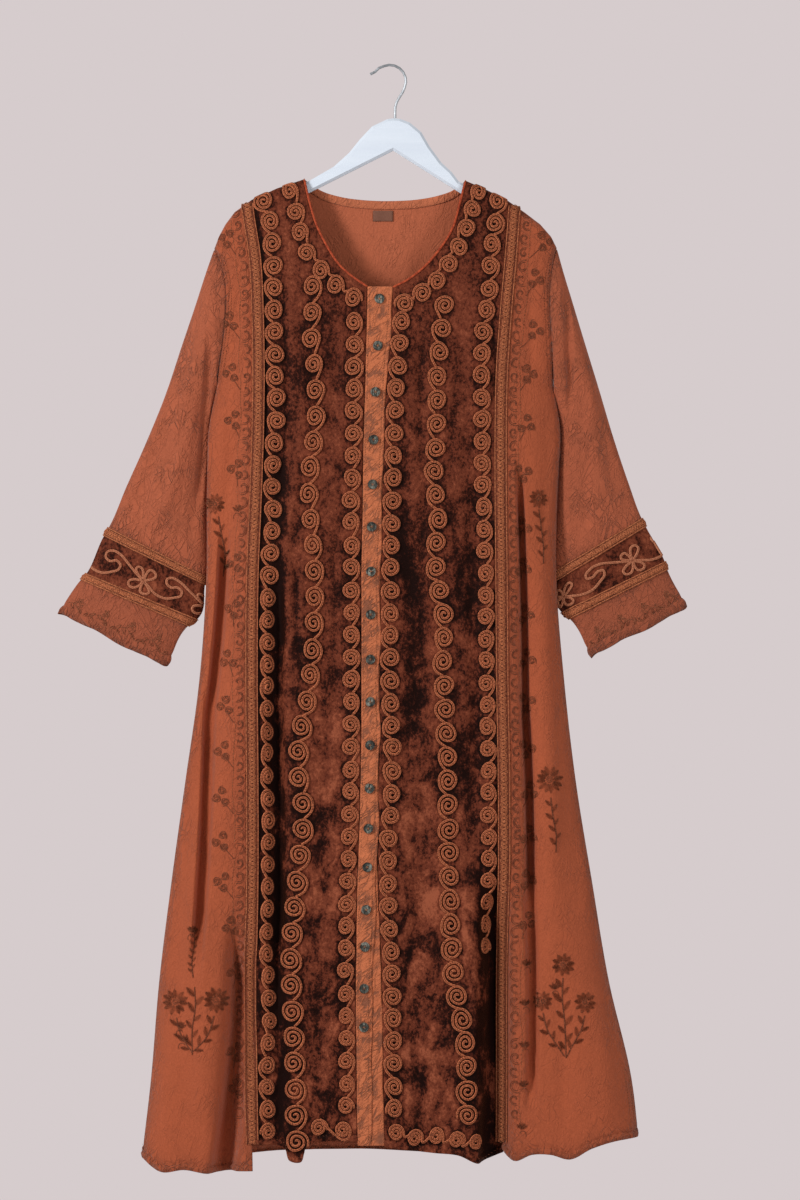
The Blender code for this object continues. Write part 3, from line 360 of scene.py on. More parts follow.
# Long dark valleys of the velvet: a shallow dip in the cloth, with painted shade along it; a path of (x, drop) from
# top to bottom
Valley = namedtuple("Valley", "width depth path")
VALLEYS = (
    Valley(6, 0.9, ((-134, 250), (-132, 420), (-132, 560), (-134, 640))),
    Valley(8, 2.1, ((-139, 480), (-145, 700), (-146, 900), (-143, 1180), (-139, 1400))),
    Valley(5, 1.2, ((-122, 560), (-119, 700), (-122, 860))),
    Valley(13, 2.2, ((133, 1040), (133, 1150), (133, 1300), (132, 1400))),
    Valley(4, 0.9, ((-161, 240), (-159, 420), (-162, 640), (-164, 1000))),
    Valley(6, 0.6, ((-66, 480), (-66, 600), (-72, 780), (-84, 960), (-90, 1180), (-88, 1400))),
    Valley(4, 0.6, ((-118, 300), (-118, 520), (-122, 760), (-128, 1000))),
    Valley(5, 0.35, ((-84, 300), (-82, 520), (-84, 700))),
    Valley(8, 1.0, ((24, 480), (22, 640), (24, 800), (28, 1020), (32, 1200), (38, 1400))),
    Valley(6, 0.8, ((46, 330), (42, 520), (44, 680), (52, 860))),
    Valley(6, 0.8, ((88, 300), (84, 500), (90, 720), (98, 900), (102, 1100))),
    Valley(8, 1.2, ((104, 520), (109, 760), (113, 900), (119, 1100), (124, 1400))),
    Valley(5, 0.9, ((138, 260), (134, 420), (134, 640), (137, 900), (140, 1200))),
    Valley(5, 0.8, ((-62, 1100), (-66, 1240), (-64, 1400))),
    Valley(10, 1.3, ((36, 590), (33, 700), (35, 800), (38, 920))),
)

# Columns of coiled-cord roundels: radius at the top and the end, spacing, tail side, centre line
Chain = namedtuple("Chain", "radius end_radius pitch tail line")
CHAINS_L = (
    Chain(13.2, 12.2, 29.0, LEFT, (
        (-163, 176), (-157, 191), (-150, 250), (-149, 320), (-147, 400), (-144, 450), (-150, 520), (-149, 575),
        (-155, 668), (-159, 790), (-160, 850), (-158, 1000), (-158, 1130), (-155, 1250), (-160, 1322), (-158, 1384))),
    Chain(13.2, 15.8, 34.0, RIGHT, (
        (-100, 288), (-101, 350), (-95, 450), (-104, 545), (-97, 663), (-103, 800), (-116, 880), (-119, 912),
        (-112, 960), (-118, 1050), (-127, 1140), (-125, 1250), (-120, 1396))),
    Chain(12.8, 11.8, 28.8, RIGHT, (
        (-45, 334), (-46, 450), (-49, 560), (-47, 700), (-48, 850), (-50, 1000), (-55, 1090), (-57, 1210),
        (-54, 1290), (-56, 1350))),
    Chain(12.4, 13.2, 28.4, RIGHT, (
        (-130, 163), (-123, 185), (-117, 213), (-111, 236), (-97, 257), (-75, 282), (-46, 303))),
    Chain(12.0, 12.0, 31.0, RIGHT, ((-60, 1380), (-91, 1378))),
)
CHAINS_R = (
    Chain(13.0, 12.0, 28.8, RIGHT, (
        (142, 177), (133, 235), (130, 285), (121, 359), (120, 480), (122, 570), (125, 650), (127, 760), (130, 890),
        (133, 980), (136, 1060), (137, 1145))),
    Chain(13.4, 15.0, 31.0, LEFT, (
        (73, 312), (66, 377), (62, 481), (60, 540), (64, 583), (62, 655), (71, 700), (71, 795), (76, 870),
        (77, 970), (80, 1085), (85, 1183), (98, 1255), (103, 1362))),
    Chain(12.8, 12.8, 28.8, LEFT, (
        (17, 334), (8, 370), (8, 440), (6, 520), (4, 583), (1, 671), (2, 730), (1, 790), (5, 905), (3, 960),
        (-1, 1020), (-3, 1100), (-4, 1200), (3, 1270), (6, 1354))),
    Chain(12.2, 12.8, 27.6, LEFT, (
        (117, 163), (110, 182), (102, 211), (90, 240), (73, 268), (47, 294), (20, 309))),
    Chain(11.8, 11.8, 27.0, RIGHT, ((9, 1384), (34, 1391), (61, 1389), (89, 1394), (114, 1397))),
)
VALLEY_DEPTH = 2.2
CORD_RADIUS = 1.72
CORD_TURNS = 2.5
ROUNDEL_STRETCH = 1.1
CORD_STEP = 2.0

BUTTON_DROPS = (304, 365, 425, 487, 545, 600, 658, 714, 772, 827, 883, 939, 991, 1041, 1096, 1144, 1198, 1248)
BUTTON_RADIUS = 6.4
BRAID_HALF_WIDTH = 7.6
BRAID_END = 1400.0
BRAID_TOP_BELOW = 1.0


def hermite(at, xs, ys):
    """A smooth curve through a table's rows, flat past its ends."""
    xs, ys = np.asarray(xs, float), np.asarray(ys, float)
    at = np.clip(at, xs[0], xs[-1])
    slope = np.gradient(ys, xs)
    i = np.clip(np.searchsorted(xs, at) - 1, 0, len(xs) - 2)
    h = xs[i + 1] - xs[i]
    t = (at - xs[i]) / h
    return (
        (1 + 2 * t) * (1 - t) ** 2 * ys[i]
        + t * (1 - t) ** 2 * h * slope[i]
        + t * t * (3 - 2 * t) * ys[i + 1]
        + t * t * (t - 1) * h * slope[i + 1]
    )


def seam(name, drop):
    """x of one of the body's seams, or a depth column, at a drop."""
    return hermite(drop, DROPS, [getattr(row, name) for row in LEVELS])


def shoulder_drop(x):
    return np.interp(x, *zip(*SHOULDER))


def armhole(side, share):
    """(x, drop) on an armhole seam, share running from 0 at the shoulder to 1 at the underarm."""
    xs, drops = zip(*ARMHOLE[side])
    drop = drops[0] + (drops[-1] - drops[0]) * share
    return hermite(drop, drops, xs), drop


def armhole_share(side, drop):
    drops = [drop for _, drop in ARMHOLE[side]]
    return np.clip((drop - drops[0]) / (drops[-1] - drops[0]), 0, 1)


def side_edge(side, drop):
    """x of the body's outer edge, which is the armhole seam above the underarm."""
    above = armhole(side, armhole_share(side, drop))[0]
    below = seam("side_l" if side == LEFT else "side_r", drop)
    return np.where(drop < ARMHOLE[side][-1][1], above, below)


def eased(value):
    value = np.clip(value, 0, 1)
    return value * value * (3 - 2 * value)


def fold_depth(x, drop, facing):
    total = np.zeros(np.broadcast(x, drop).shape)
    for fold in FOLDS:
        if fold.facing != facing:
            continue
        drops = (fold.top_drop, fold.mid_drop, fold.end_drop)
        middle = hermite(drop, drops, (fold.top_x, fold.mid_x, fold.end_x))
        along = (drop - fold.top_drop) / (fold.end_drop - fold.top_drop)
        width = fold.width + (fold.end_width - fold.width) * np.clip(along, 0, 1)
        fading = eased(along * 4) * (1 if fold.end_drop >= LAST_LEVEL else eased((1 - along) * 4))
        total = total + fold.depth * fading * np.exp(-(((x - middle) / width) ** 2))
    return total


def crease_depth(x, drop, facing):
    """The small creases, each faded towards both its ends."""
    total = np.zeros(np.broadcast(x, drop).shape)
    for crease in CREASES:
        if crease.facing != facing:
            continue
        run = np.array([crease.end_x - crease.x, crease.end_drop - crease.drop], float)
        length = np.linalg.norm(run)
        along = ((x - crease.x) * run[0] + (drop - crease.drop) * run[1]) / length**2
        bow = crease.width * 0.5 * np.sin(math.pi * np.clip(along, 0, 1))
        off = ((x - crease.x) * run[1] - (drop - crease.drop) * run[0]) / length - bow
        fading = eased(along * 4) * (1 if crease.end_drop >= 1438 else eased((1 - along) * 4))
        total = total + crease.depth * fading * np.exp(-(np.abs(off / crease.width) ** crease.power))
    return total


def valley_depth(x, drop):
    """How deep the velvet dips along its valleys and how much painted shade it takes there, from 0 to about 1."""
    total = np.zeros(np.broadcast(x, drop).shape)
    for valley in VALLEYS:
        xs, drops = zip(*valley.path)
        wander = 3.0 * np.sin(drop * 0.021 + xs[0]) + 1.6 * np.sin(drop * 0.057 + xs[0] * 0.3)
        middle = hermite(drop, drops, xs) + wander
        fading = eased((drop - drops[0]) / 60) * (1 if drops[-1] >= 1400 else eased((drops[-1] - drop) / 60))
        uneven = 0.75 + 0.25 * np.sin(drop * 0.033 + xs[0] * 0.7)
        total = total + valley.depth * uneven * fading * np.exp(-(((x - middle) / valley.width) ** 2))
    return total


def ripple(x, drop):
    """The slight unevenness of washed cloth, under half a millimetre."""
    slow = np.sin(x * 0.071 + 1.9 * np.sin(drop * 0.013)) * np.sin(drop * 0.031 + 2.2 * np.sin(x * 0.019))
    quick = np.sin(x * 0.23 + 1.4 * np.sin(drop * 0.041)) * np.sin(drop * 0.083 + 1.7 * np.sin(x * 0.057))
    return 0.34 * slow + 0.16 * quick


def stand_off(x, drop, facing):
    """How far the outer face of the cloth stands from y = 0."""
    x, drop = np.broadcast_arrays(np.asarray(x, float), np.asarray(drop, float))
    below = np.maximum(drop - shoulder_drop(x), 0)
    rolled = np.minimum(below, SHOULDER_ROLL)
    ridge = np.sqrt(SHOULDER_ROLL**2 - (SHOULDER_ROLL - rolled) ** 2)
    ridge = ridge + SHOULDER_LEAN * (below - rolled)
    small = crease_depth(x, drop, facing) + ripple(x, drop)
    base = seam("front" if facing == FRONT else "back", drop) - fold_depth(x, drop, facing) - small
    for side in (LEFT, RIGHT):
        share = armhole_share(side, drop)
        open_arm = 2 * np.sqrt(share * (1 - share))
        edge = ARMHOLE_DEPTH * open_arm + SLIT_OPENING * eased((drop - SLIT_TOP) / SLIT_EASE)
        inset = np.clip(side * (side_edge(side, drop) - x) / SIDE_ROLL, 0, 1)
        base = edge + (base - edge) * (1 - (1 - inset) ** 2) ** (0.5 + 0.5 * open_arm)
    blend = np.clip(0.5 + (ridge - base) / SHOULDER_BLEND, 0, 1)
    lower = base * blend + ridge * (1 - blend) - SHOULDER_BLEND / 2 * blend * (1 - blend)
    return np.maximum(lower, SEAM_GAP / 2)


def outward(x, drop, facing):
    step = 0.5
    across = (stand_off(x + step, drop, facing) - stand_off(x - step, drop, facing)) / (2 * step)
    down = (stand_off(x, drop + step, facing) - stand_off(x, drop - step, facing)) / (2 * step)
    normal = np.stack([-across, np.full(across.shape, float(facing)), down], axis=-1)
    return normal / np.linalg.norm(normal, axis=-1, keepdims=True)


def cloth(x, drop, facing, out=0.0):
    """Points on the body's cloth in millimetres, moved out from its outer face."""
    x, drop = np.broadcast_arrays(np.asarray(x, float), np.asarray(drop, float))
    points = np.stack([x, facing * stand_off(x, drop, facing), -drop], axis=-1)
    moved = points + outward(x, drop, facing) * np.asarray(out)[..., None]
    moved[..., 1] = facing * np.maximum(facing * moved[..., 1], SEAM_GAP / 2)
    return moved


def sleeve_ring(side, at, turn):
    """Points on a sleeve in millimetres, at a row number and an angle from the outer edge forward."""
    rows = SLEEVE[side]
    edges = np.array([row[:4] for row in rows])
    lengths = np.concatenate([[0], np.cumsum(np.linalg.norm(np.diff(edges, axis=0), axis=1))])
    place = np.interp(at, range(len(rows)), lengths)
    columns = [hermite(place, lengths, column) for column in zip(*rows)]
    outer_x, outer_drop, inner_x, inner_drop, half, back = columns
    share = (1 - np.cos(turn)) / 2
    first = rows[0]
    bow = armhole(side, share)[0] - (first.outer_x + (first.inner_x - first.outer_x) * share)
    x = outer_x + (inner_x - outer_x) * share + bow * np.clip(1 - at / 2.5, 0, 1) ** 2
    drop = outer_drop + (inner_drop - outer_drop) * share
    fade = np.clip(np.abs(np.sin(turn)) * 1.6, 0, 1) * np.clip(at * 1.5, 0, 1)
    facing = np.where(np.sin(turn) > 0, FRONT, BACK)
    small = np.where(facing == FRONT, crease_depth(x, drop, FRONT), crease_depth(x, drop, BACK))
    small = (small + ripple(x, drop)) * fade
    return np.stack([x, back - half * np.sin(turn) - facing * small, -drop], axis=-1)


def sleeve_outward(side, at, turn):
    step = 0.02
    last = len(SLEEVE[side]) - 1
    around = sleeve_ring(side, at, turn + step) - sleeve_ring(side, at, turn - step)
    along = sleeve_ring(side, np.minimum(at + step, last), turn) - sleeve_ring(side, np.maximum(at - step, 0), turn)
    normal = np.cross(around, along) * side
    return normal / np.linalg.norm(normal, axis=-1, keepdims=True)


def sleeve(side, at, turn, out=0.0):
    """Points on a sleeve's cloth, moved out from its outer face."""
    at, turn = np.broadcast_arrays(np.asarray(at, float), np.asarray(turn, float))
    return sleeve_ring(side, at, turn) + sleeve_outward(side, at, turn) * np.asarray(out)[..., None]


def spaced(rows, step):
    """Points at an even step along a table of (x, drop) rows."""
    rows = np.asarray(rows, float)
    lengths = np.concatenate([[0], np.cumsum(np.linalg.norm(np.diff(rows, axis=0), axis=1))])
    at = np.linspace(0, lengths[-1], max(2, round(lengths[-1] / step) + 1))
    return np.stack([hermite(at, lengths, rows[:, 0]), hermite(at, lengths, rows[:, 1])], axis=-1)


def along_path(rows, step):
    """The same for a path drawn in two or three columns, as a smooth curve."""
    rows = np.asarray(rows, float)
    lengths = np.concatenate([[0], np.cumsum(np.linalg.norm(np.diff(rows, axis=0), axis=1))])
    at = np.linspace(0, lengths[-1], max(3, round(lengths[-1] / step) + 1))
    return np.stack([hermite(at, lengths, column) for column in rows.T], axis=-1)


def add_mesh(name, points, faces, corners, material, slot, attributes=None):
    """A mesh piece from points in millimetres, with a UV in millimetres for each face corner."""
    mesh = bpy.data.meshes.new(name)
    mesh.from_pydata((np.asarray(points) * MM).tolist(), [], faces)
    layer = mesh.uv_layers.new(name="cloth")
    layer.data.foreach_set("uv", (np.asarray(corners) * MM).astype(np.float32).ravel())
    for key, values in (attributes or {}).items():
        mesh.attributes.new(key, "FLOAT", "POINT").data.foreach_set("value", np.asarray(values, np.float32))
    mesh.shade_smooth()
    mesh.materials.append(material)
    piece = bpy.data.objects.new(name, mesh)
    bpy.context.scene.collection.objects.link(piece)
    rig.ride(piece, "root")
    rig.slot(piece, slot)
    return piece


def add_grid(name, points, uv, material, slot, thickness, wrap=False, flip=False, edge=None, shade=None):
    """A shell over a grid of points, thickened inwards; edge and shade are kept for its material."""
    rows, cols = points.shape[:2]
    i, k = np.meshgrid(np.arange(rows - 1), np.arange(cols if wrap else cols - 1), indexing="ij")
    after = (k + 1) % cols
    wide = uv.shape[1]
    faces = np.stack([i * cols + k, (i + 1) * cols + k, (i + 1) * cols + after, i * cols + after], -1)
    corners = np.stack([i * wide + k, (i + 1) * wide + k, (i + 1) * wide + k + 1, i * wide + k + 1], -1)
    faces, corners = faces.reshape(-1, 4), corners.reshape(-1, 4)
    if flip:
        faces, corners = faces[:, ::-1], corners[:, ::-1]
    attributes = {key: value.ravel() for key, value in (("edge", edge), ("shade", shade)) if value is not None}
    flat_uv = uv.reshape(-1, 2)[corners.ravel()]
    piece = add_mesh(name, points.reshape(-1, 3), faces.tolist(), flat_uv, material, slot, attributes)
    if thickness:
        shell = piece.modifiers.new("thickness", "SOLIDIFY")
        shell.thickness = thickness * MM
        shell.offset = -1
    return piece


def add_threads(name, paths, radius, sides, material, slot):
    """Round threads in one piece; each path is its points and the way that its top faces."""
    points, faces, corners = [], [], []
    turn = np.linspace(0, 2 * math.pi, sides, endpoint=False)
    start = 0
    for path, up in paths:
        count = len(path)
        ahead = np.gradient(path, axis=0)
        side = np.cross(ahead, up)
        side /= np.linalg.norm(side, axis=1, keepdims=True)
        top = np.cross(side, ahead)
        top /= np.linalg.norm(top, axis=1, keepdims=True)
        size = np.full(count, float(radius))
        size[[0, -1]] *= 0.55
        ring = np.cos(turn)[None, :, None] * side[:, None] + np.sin(turn)[None, :, None] * top[:, None]
        points.append((path[:, None] + size[:, None, None] * ring).reshape(-1, 3))
        lengths = np.concatenate([[0], np.cumsum(np.linalg.norm(np.diff(path, axis=0), axis=1))])
        i, k = np.meshgrid(np.arange(count - 1), np.arange(sides), indexing="ij")
        after = (k + 1) % sides
        quads = np.stack([i * sides + k, (i + 1) * sides + k, (i + 1) * sides + after, i * sides + after], -1)
        faces += (start + quads.reshape(-1, 4)).tolist()
        arc = 2 * math.pi * radius / sides
        u = np.stack([k, k, k + 1, k + 1], -1) * arc
        v = np.stack([lengths[i], lengths[i + 1], lengths[i + 1], lengths[i]], -1)
        corners.append(np.stack([u, v], -1).reshape(-1, 2))
        caps = [list(range(start, start + sides)), list(range(start + count * sides - 1, start + (count - 1) * sides - 1, -1))]
        faces += caps
        corners.append(np.zeros((2 * sides, 2)))
        start += count * sides
    return add_mesh(name, np.concatenate(points), faces, np.concatenate(corners), material, slot)


def on_body(flat, facing, out):
    """A thread's path on the body from (x, drop) rows."""
    flat = np.asarray(flat, float)
    return cloth(flat[:, 0], flat[:, 1], facing, out), outward(flat[:, 0], flat[:, 1], facing)


def body_threads(name, flats, out, radius, sides, material, slot, facing=FRONT):
    """Threads laid on the body from lists of (x, drop) rows, worked out together."""
    points, ups = on_body(np.concatenate(flats), facing, out)
    cuts = np.cumsum([len(flat) for flat in flats])[:-1]
    paths = list(zip(np.split(points, cuts), np.split(ups, cuts)))
    return add_threads(name, paths, radius, sides, material, slot)


def stitches(line, pitch, gap=0.3, slant=0.0):
    """Short straight stitches end to end along a line of (x, drop) points, each leaning across it by slant."""
    line = np.asarray(line, float)
    lengths = np.concatenate([[0], np.cumsum(np.linalg.norm(np.diff(line, axis=0), axis=1))])
    at = np.arange(0, lengths[-1] - pitch, pitch)
    starts = np.stack([np.interp(at, lengths, line[:, 0]), np.interp(at, lengths, line[:, 1])], -1)
    after = at + pitch * (1 - gap)
    ends = np.stack([np.interp(after, lengths, line[:, 0]), np.interp(after, lengths, line[:, 1])], -1)
    run = (ends - starts) / np.linalg.norm(ends - starts, axis=1, keepdims=True)
    ends = ends + slant * np.stack([-run[:, 1], run[:, 0]], -1)
    return [np.linspace(a, b, 3) for a, b in zip(starts, ends)]


def on_sleeve(side, flat, out):
    """A thread's path on a sleeve from (row number, angle) rows."""
    flat = np.asarray(flat, float)
    at, turn = flat[:, 0], flat[:, 1]
    return sleeve(side, at, turn, out), sleeve_outward(side, at, turn)


# Materials

def new_material(name, roughness, sheen=0.0, sheen_tint=(1, 1, 1), sheen_roughness=0.4, specular=0.5):
    material = bpy.data.materials.new(name)
    material.use_nodes = True
    nodes, links = material.node_tree.nodes, material.node_tree.links
    shader = nodes["Principled BSDF"]
    shader.inputs["Roughness"].default_value = roughness
    shader.inputs["Specular IOR Level"].default_value = specular
    shader.inputs["Sheen Weight"].default_value = sheen
    shader.inputs["Sheen Roughness"].default_value = sheen_roughness
    shader.inputs["Sheen Tint"].default_value = (*sheen_tint, 1)
    return material, nodes, links, shader


def noise(nodes, links, source, scale, detail=3.0, stretch=(1, 1, 1), distortion=0.0, lean=0.0, rough=0.5):
    """A noise texture in metres: stretch multiplies its frequency along each axis, lean tips it in the front view."""
    mapping = nodes.new("ShaderNodeMapping")
    mapping.vector_type = "TEXTURE"
    mapping.inputs["Rotation"].default_value = (0, lean, 0)
    mapping.inputs["Scale"].default_value = [1 / each for each in stretch]
    links.new(source, mapping.inputs["Vector"])
    texture = nodes.new("ShaderNodeTexNoise")
    texture.inputs["Scale"].default_value = scale
    texture.inputs["Detail"].default_value = detail
    texture.inputs["Distortion"].default_value = distortion
    texture.inputs["Roughness"].default_value = rough
    links.new(mapping.outputs["Vector"], texture.inputs["Vector"])
    return texture.outputs["Fac"]


def ramp(nodes, links, source, stops):
    """A colour ramp from (place, colour) stops."""
    node = nodes.new("ShaderNodeValToRGB")
    elements = node.color_ramp.elements
    elements[0].position, elements[0].color = stops[0][0], (*stops[0][1], 1)
    elements[1].position, elements[1].color = stops[-1][0], (*stops[-1][1], 1)
    for place, colour in stops[1:-1]:
        elements.new(place).color = (*colour, 1)
    links.new(source, node.inputs["Fac"])
    return node.outputs["Color"]


def mixed(nodes, links, kind, factor, first, second):
    """Two colours mixed; the factor and either colour may be a socket or a value."""
    node = nodes.new("ShaderNodeMix")
    node.data_type = "RGBA"
    node.blend_type = kind
    factor_in = [s for s in node.inputs if s.name == "Factor" and s.type == "VALUE"][0]
    a_in = [s for s in node.inputs if s.name == "A" and s.type == "RGBA"][0]
    b_in = [s for s in node.inputs if s.name == "B" and s.type == "RGBA"][0]
    for socket, value in ((factor_in, factor), (a_in, first), (b_in, second)):
        if isinstance(value, bpy.types.NodeSocket):
            links.new(value, socket)
        elif socket is factor_in:
            socket.default_value = value
        else:
            socket.default_value = (*value, 1)
    return [s for s in node.outputs if s.type == "RGBA"][0]


def maths(nodes, links, operation, first, second=0.0):
    node = nodes.new("ShaderNodeMath")
    node.operation = operation
    for socket, value in zip(node.inputs, (first, second)):
        if isinstance(value, bpy.types.NodeSocket):
            links.new(value, socket)
        else:
            socket.default_value = value
    return node.outputs["Value"]


def bump(nodes, links, shader, height, distance, strength=1.0):
    node = nodes.new("ShaderNodeBump")
    node.inputs["Distance"].default_value = distance * MM
    node.inputs["Strength"].default_value = strength
    links.new(height, node.inputs["Height"])
    links.new(node.outputs["Normal"], shader.inputs["Normal"])


def coordinates(nodes, kind):
    return nodes.new("ShaderNodeTexCoord").outputs[kind]


def attribute(nodes, name):
    node = nodes.new("ShaderNodeAttribute")
    node.attribute_name = name
    return node.outputs["Fac"]


def velvet_material():
    """Crushed velvet: fine brown pile, with crisp dark patches that grow larger down the skirt."""
    material, nodes, links, shader = new_material("crushed_velvet", 0.65, 0.14, (0.9, 0.3, 0.15), 0.4, 0.05)
    place = coordinates(nodes, "Object")
    split = nodes.new("ShaderNodeSeparateXYZ")
    links.new(place, split.inputs["Vector"])
    down = nodes.new("ShaderNodeMapRange")
    links.new(split.outputs["Z"], down.inputs["Value"])
    for key, value in (("From Min", -0.35), ("From Max", -1.15), ("To Min", 0.55), ("To Max", 1.35)):
        down.inputs[key].default_value = value
    patches = noise(nodes, links, place, 40, 8, (1, 1, 0.72), 0.45, 0.12, 0.62)
    broad = noise(nodes, links, place, 15, 2, (1, 1, 0.4), 0.3)
    pile = noise(nodes, links, place, 290, 5, (1, 1, 0.8), 0.2, 0, 0.78)
    pile_and_shade = maths(nodes, links, "MULTIPLY", maths(nodes, links, "SUBTRACT", patches, 0.5), down.outputs["Result"])
    # The shade attribute darkens the pile with painted shade, in the valleys, beside the left braid and round the
    # roundels.
    for part, weight, offset in (
        (broad, 0.3, -0.15), (pile, 0.8, -0.4), (attribute(nodes, "shade"), -0.13, 0.535)
    ):  # fmt: skip
        part = maths(nodes, links, "ADD", maths(nodes, links, "MULTIPLY", part, weight), offset)
        pile_and_shade = maths(nodes, links, "ADD", pile_and_shade, part)
    colour = ramp(nodes, links, pile_and_shade, (
        (0.32, (0.009, 0.0022, 0.0014)), (0.43, (0.036, 0.0075, 0.004)), (0.49, (0.105, 0.0225, 0.0108)),
        (0.61, (0.17, 0.04, 0.019)), (0.76, (0.31, 0.084, 0.04)),
    ))  # fmt: skip
    links.new(colour, shader.inputs["Base Color"])
    bump(nodes, links, shader, pile_and_shade, 1.1)
    return material


def crease_lines(nodes, links, place, kinds):
    """1 on thin lines that lean both ways, and 0 between them; kinds holds scale, sharpness and lean."""
    clear = 1.0
    for scale, sharpness, lean in kinds:
        field = noise(nodes, links, place, scale, 3, (1, 1, 0.24), 0.9, lean)
        off = maths(nodes, links, "ABSOLUTE", maths(nodes, links, "SUBTRACT", field, 0.5))
        off = maths(nodes, links, "MINIMUM", maths(nodes, links, "MULTIPLY", off, sharpness), 1.0)
        clear = maths(nodes, links, "MULTIPLY", off, clear)
    return maths(nodes, links, "SUBTRACT", 1.0, clear)


def rayon_material(name, colour, dark, crumple=0.35):
    """Washed, overdyed rayon: finely woven, crumpled, with dye left dark in its creases and along seams, and painted
    shade along the hems and beside the braids, where the edge attribute darkens it.
    """
    material, nodes, links, shader = new_material(name, 0.8, 0.25, (1.0, 0.6, 0.5), 0.5, 0.12)
    place = coordinates(nodes, "Object")
    flat = coordinates(nodes, "UV")
    wash = noise(nodes, links, place, 12, 4, (1, 1, 0.6), 0.3)
    flecks = noise(nodes, links, place, 520, 3, (1, 1, 1), 0.2, 0, 0.65)
    worn = noise(nodes, links, place, 24, 3)
    weave_a = noise(nodes, links, flat, 1500, 1, (1, 0.12, 1))
    weave_b = noise(nodes, links, flat, 1500, 1, (0.12, 1, 1))
    lines = crease_lines(nodes, links, place, ((68, 22, 0.75), (54, 22, -0.62), (95, 18, 0.2)))
    mask = maths(nodes, links, "MULTIPLY", maths(nodes, links, "SUBTRACT", worn, 0.4), 5.0)
    mask = maths(nodes, links, "MAXIMUM", maths(nodes, links, "MINIMUM", mask, 1.0), 0.45)
    mask = maths(nodes, links, "MULTIPLY", mask, crumple)
    # edge: dye left dark along the seams, and painted shade along the hems and beside the braids.
    edge = attribute(nodes, "edge")
    folded = maths(nodes, links, "MULTIPLY", lines, maths(nodes, links, "ADD", mask, edge))
    base = mixed(nodes, links, "MIX", maths(nodes, links, "MULTIPLY", wash, 0.55), colour, [c * 0.74 for c in colour])
    base = mixed(nodes, links, "MIX", maths(nodes, links, "MULTIPLY", folded, 0.3), base, dark)
    specks = maths(nodes, links, "MULTIPLY", edge, flecks)
    base = mixed(nodes, links, "MIX", maths(nodes, links, "MULTIPLY", specks, 0.5), base, dark)
    tiny = ramp(nodes, links, flecks, ((0.36, (0.9, 0.88, 0.86)), (0.62, (1.07, 1.07, 1.07))))
    links.new(mixed(nodes, links, "MULTIPLY", 1.0, base, tiny), shader.inputs["Base Color"])
    weave = maths(nodes, links, "MULTIPLY", maths(nodes, links, "ADD", weave_a, weave_b), 0.07)
    height = maths(nodes, links, "ADD", weave, maths(nodes, links, "MULTIPLY", folded, -1.5))
    height = maths(nodes, links, "ADD", height, maths(nodes, links, "MULTIPLY", flecks, 0.2))
    height = maths(nodes, links, "ADD", height, maths(nodes, links, "MULTIPLY", worn, crumple * 3))
    bump(nodes, links, shader, height, 1.5)
    return material


def crinkle_material():
    """The placket's bright crinkled cotton, with grey-brown dye caught in slanting smudges."""
    material, nodes, links, shader = new_material("crinkled_band", 0.8, 0.2, (1.0, 0.6, 0.45), 0.5, 0.12)
    place = coordinates(nodes, "Object")
    lines = crease_lines(nodes, links, place, ((125, 11, 0.95), (90, 13, 0.35)))
    broad = noise(nodes, links, place, 62, 2)
    fine = noise(nodes, links, place, 420, 3, (1, 1, 1), 0, 0, 0.65)
    smudge = maths(nodes, links, "MULTIPLY", lines, maths(nodes, links, "MULTIPLY", broad, 1.9))
    colour = ramp(nodes, links, smudge, (
        (0.6, (0.53, 0.155, 0.066)), (0.8, (0.41, 0.122, 0.055)), (1.0, (0.25, 0.085, 0.045)),
    ))  # fmt: skip
    shade = ramp(nodes, links, fine, ((0.35, (0.86, 0.84, 0.82)), (0.65, (1.07, 1.06, 1.05))))
    links.new(mixed(nodes, links, "MULTIPLY", 1.0, colour, shade), shader.inputs["Base Color"])
    height = maths(nodes, links, "ADD", maths(nodes, links, "MULTIPLY", smudge, -1.0),
                   maths(nodes, links, "MULTIPLY", fine, 0.25))  # fmt: skip
    bump(nodes, links, shader, height, 1.3)
    return material


def cord_material(name, light, dark, pitch, roughness=0.7):
    """Twisted cord: light and dark plies, and painted shade along the groove on its top between two strands."""
    material, nodes, links, shader = new_material(name, roughness, 0.2, (1.0, 0.55, 0.3), 0.4, 0.15)
    split = nodes.new("ShaderNodeSeparateXYZ")
    links.new(coordinates(nodes, "UV"), split.inputs["Vector"])
    turns = maths(nodes, links, "MULTIPLY", split.outputs["X"], 1 / (2 * math.pi * CORD_RADIUS * MM))
    run = maths(nodes, links, "MULTIPLY", split.outputs["Y"], 1 / (pitch * MM))
    phase = maths(nodes, links, "MULTIPLY", maths(nodes, links, "ADD", turns, run), 2 * math.pi)
    ply = maths(nodes, links, "MULTIPLY_ADD", maths(nodes, links, "SINE", phase), 0.5)
    ply.node.inputs[2].default_value = 0.5
    fuzz = noise(nodes, links, coordinates(nodes, "Object"), 520, 3)
    tone = maths(nodes, links, "ADD", maths(nodes, links, "MULTIPLY", ply, 0.14), maths(nodes, links, "MULTIPLY", fuzz, 1.0))
    # Painted shade: the colour darkens along the groove on the cord's top.
    groove = maths(nodes, links, "ABSOLUTE", maths(nodes, links, "SUBTRACT", turns, 0.25))
    groove = maths(nodes, links, "MINIMUM", maths(nodes, links, "MULTIPLY", groove, 13.0), 1.0)
    tone = maths(nodes, links, "MULTIPLY", tone, maths(nodes, links, "ADD", maths(nodes, links, "MULTIPLY", groove, 0.58), 0.44))
    links.new(ramp(nodes, links, tone, ((0.3, dark), (0.66, light))), shader.inputs["Base Color"])
    bump(nodes, links, shader, tone, 0.8)
    return material


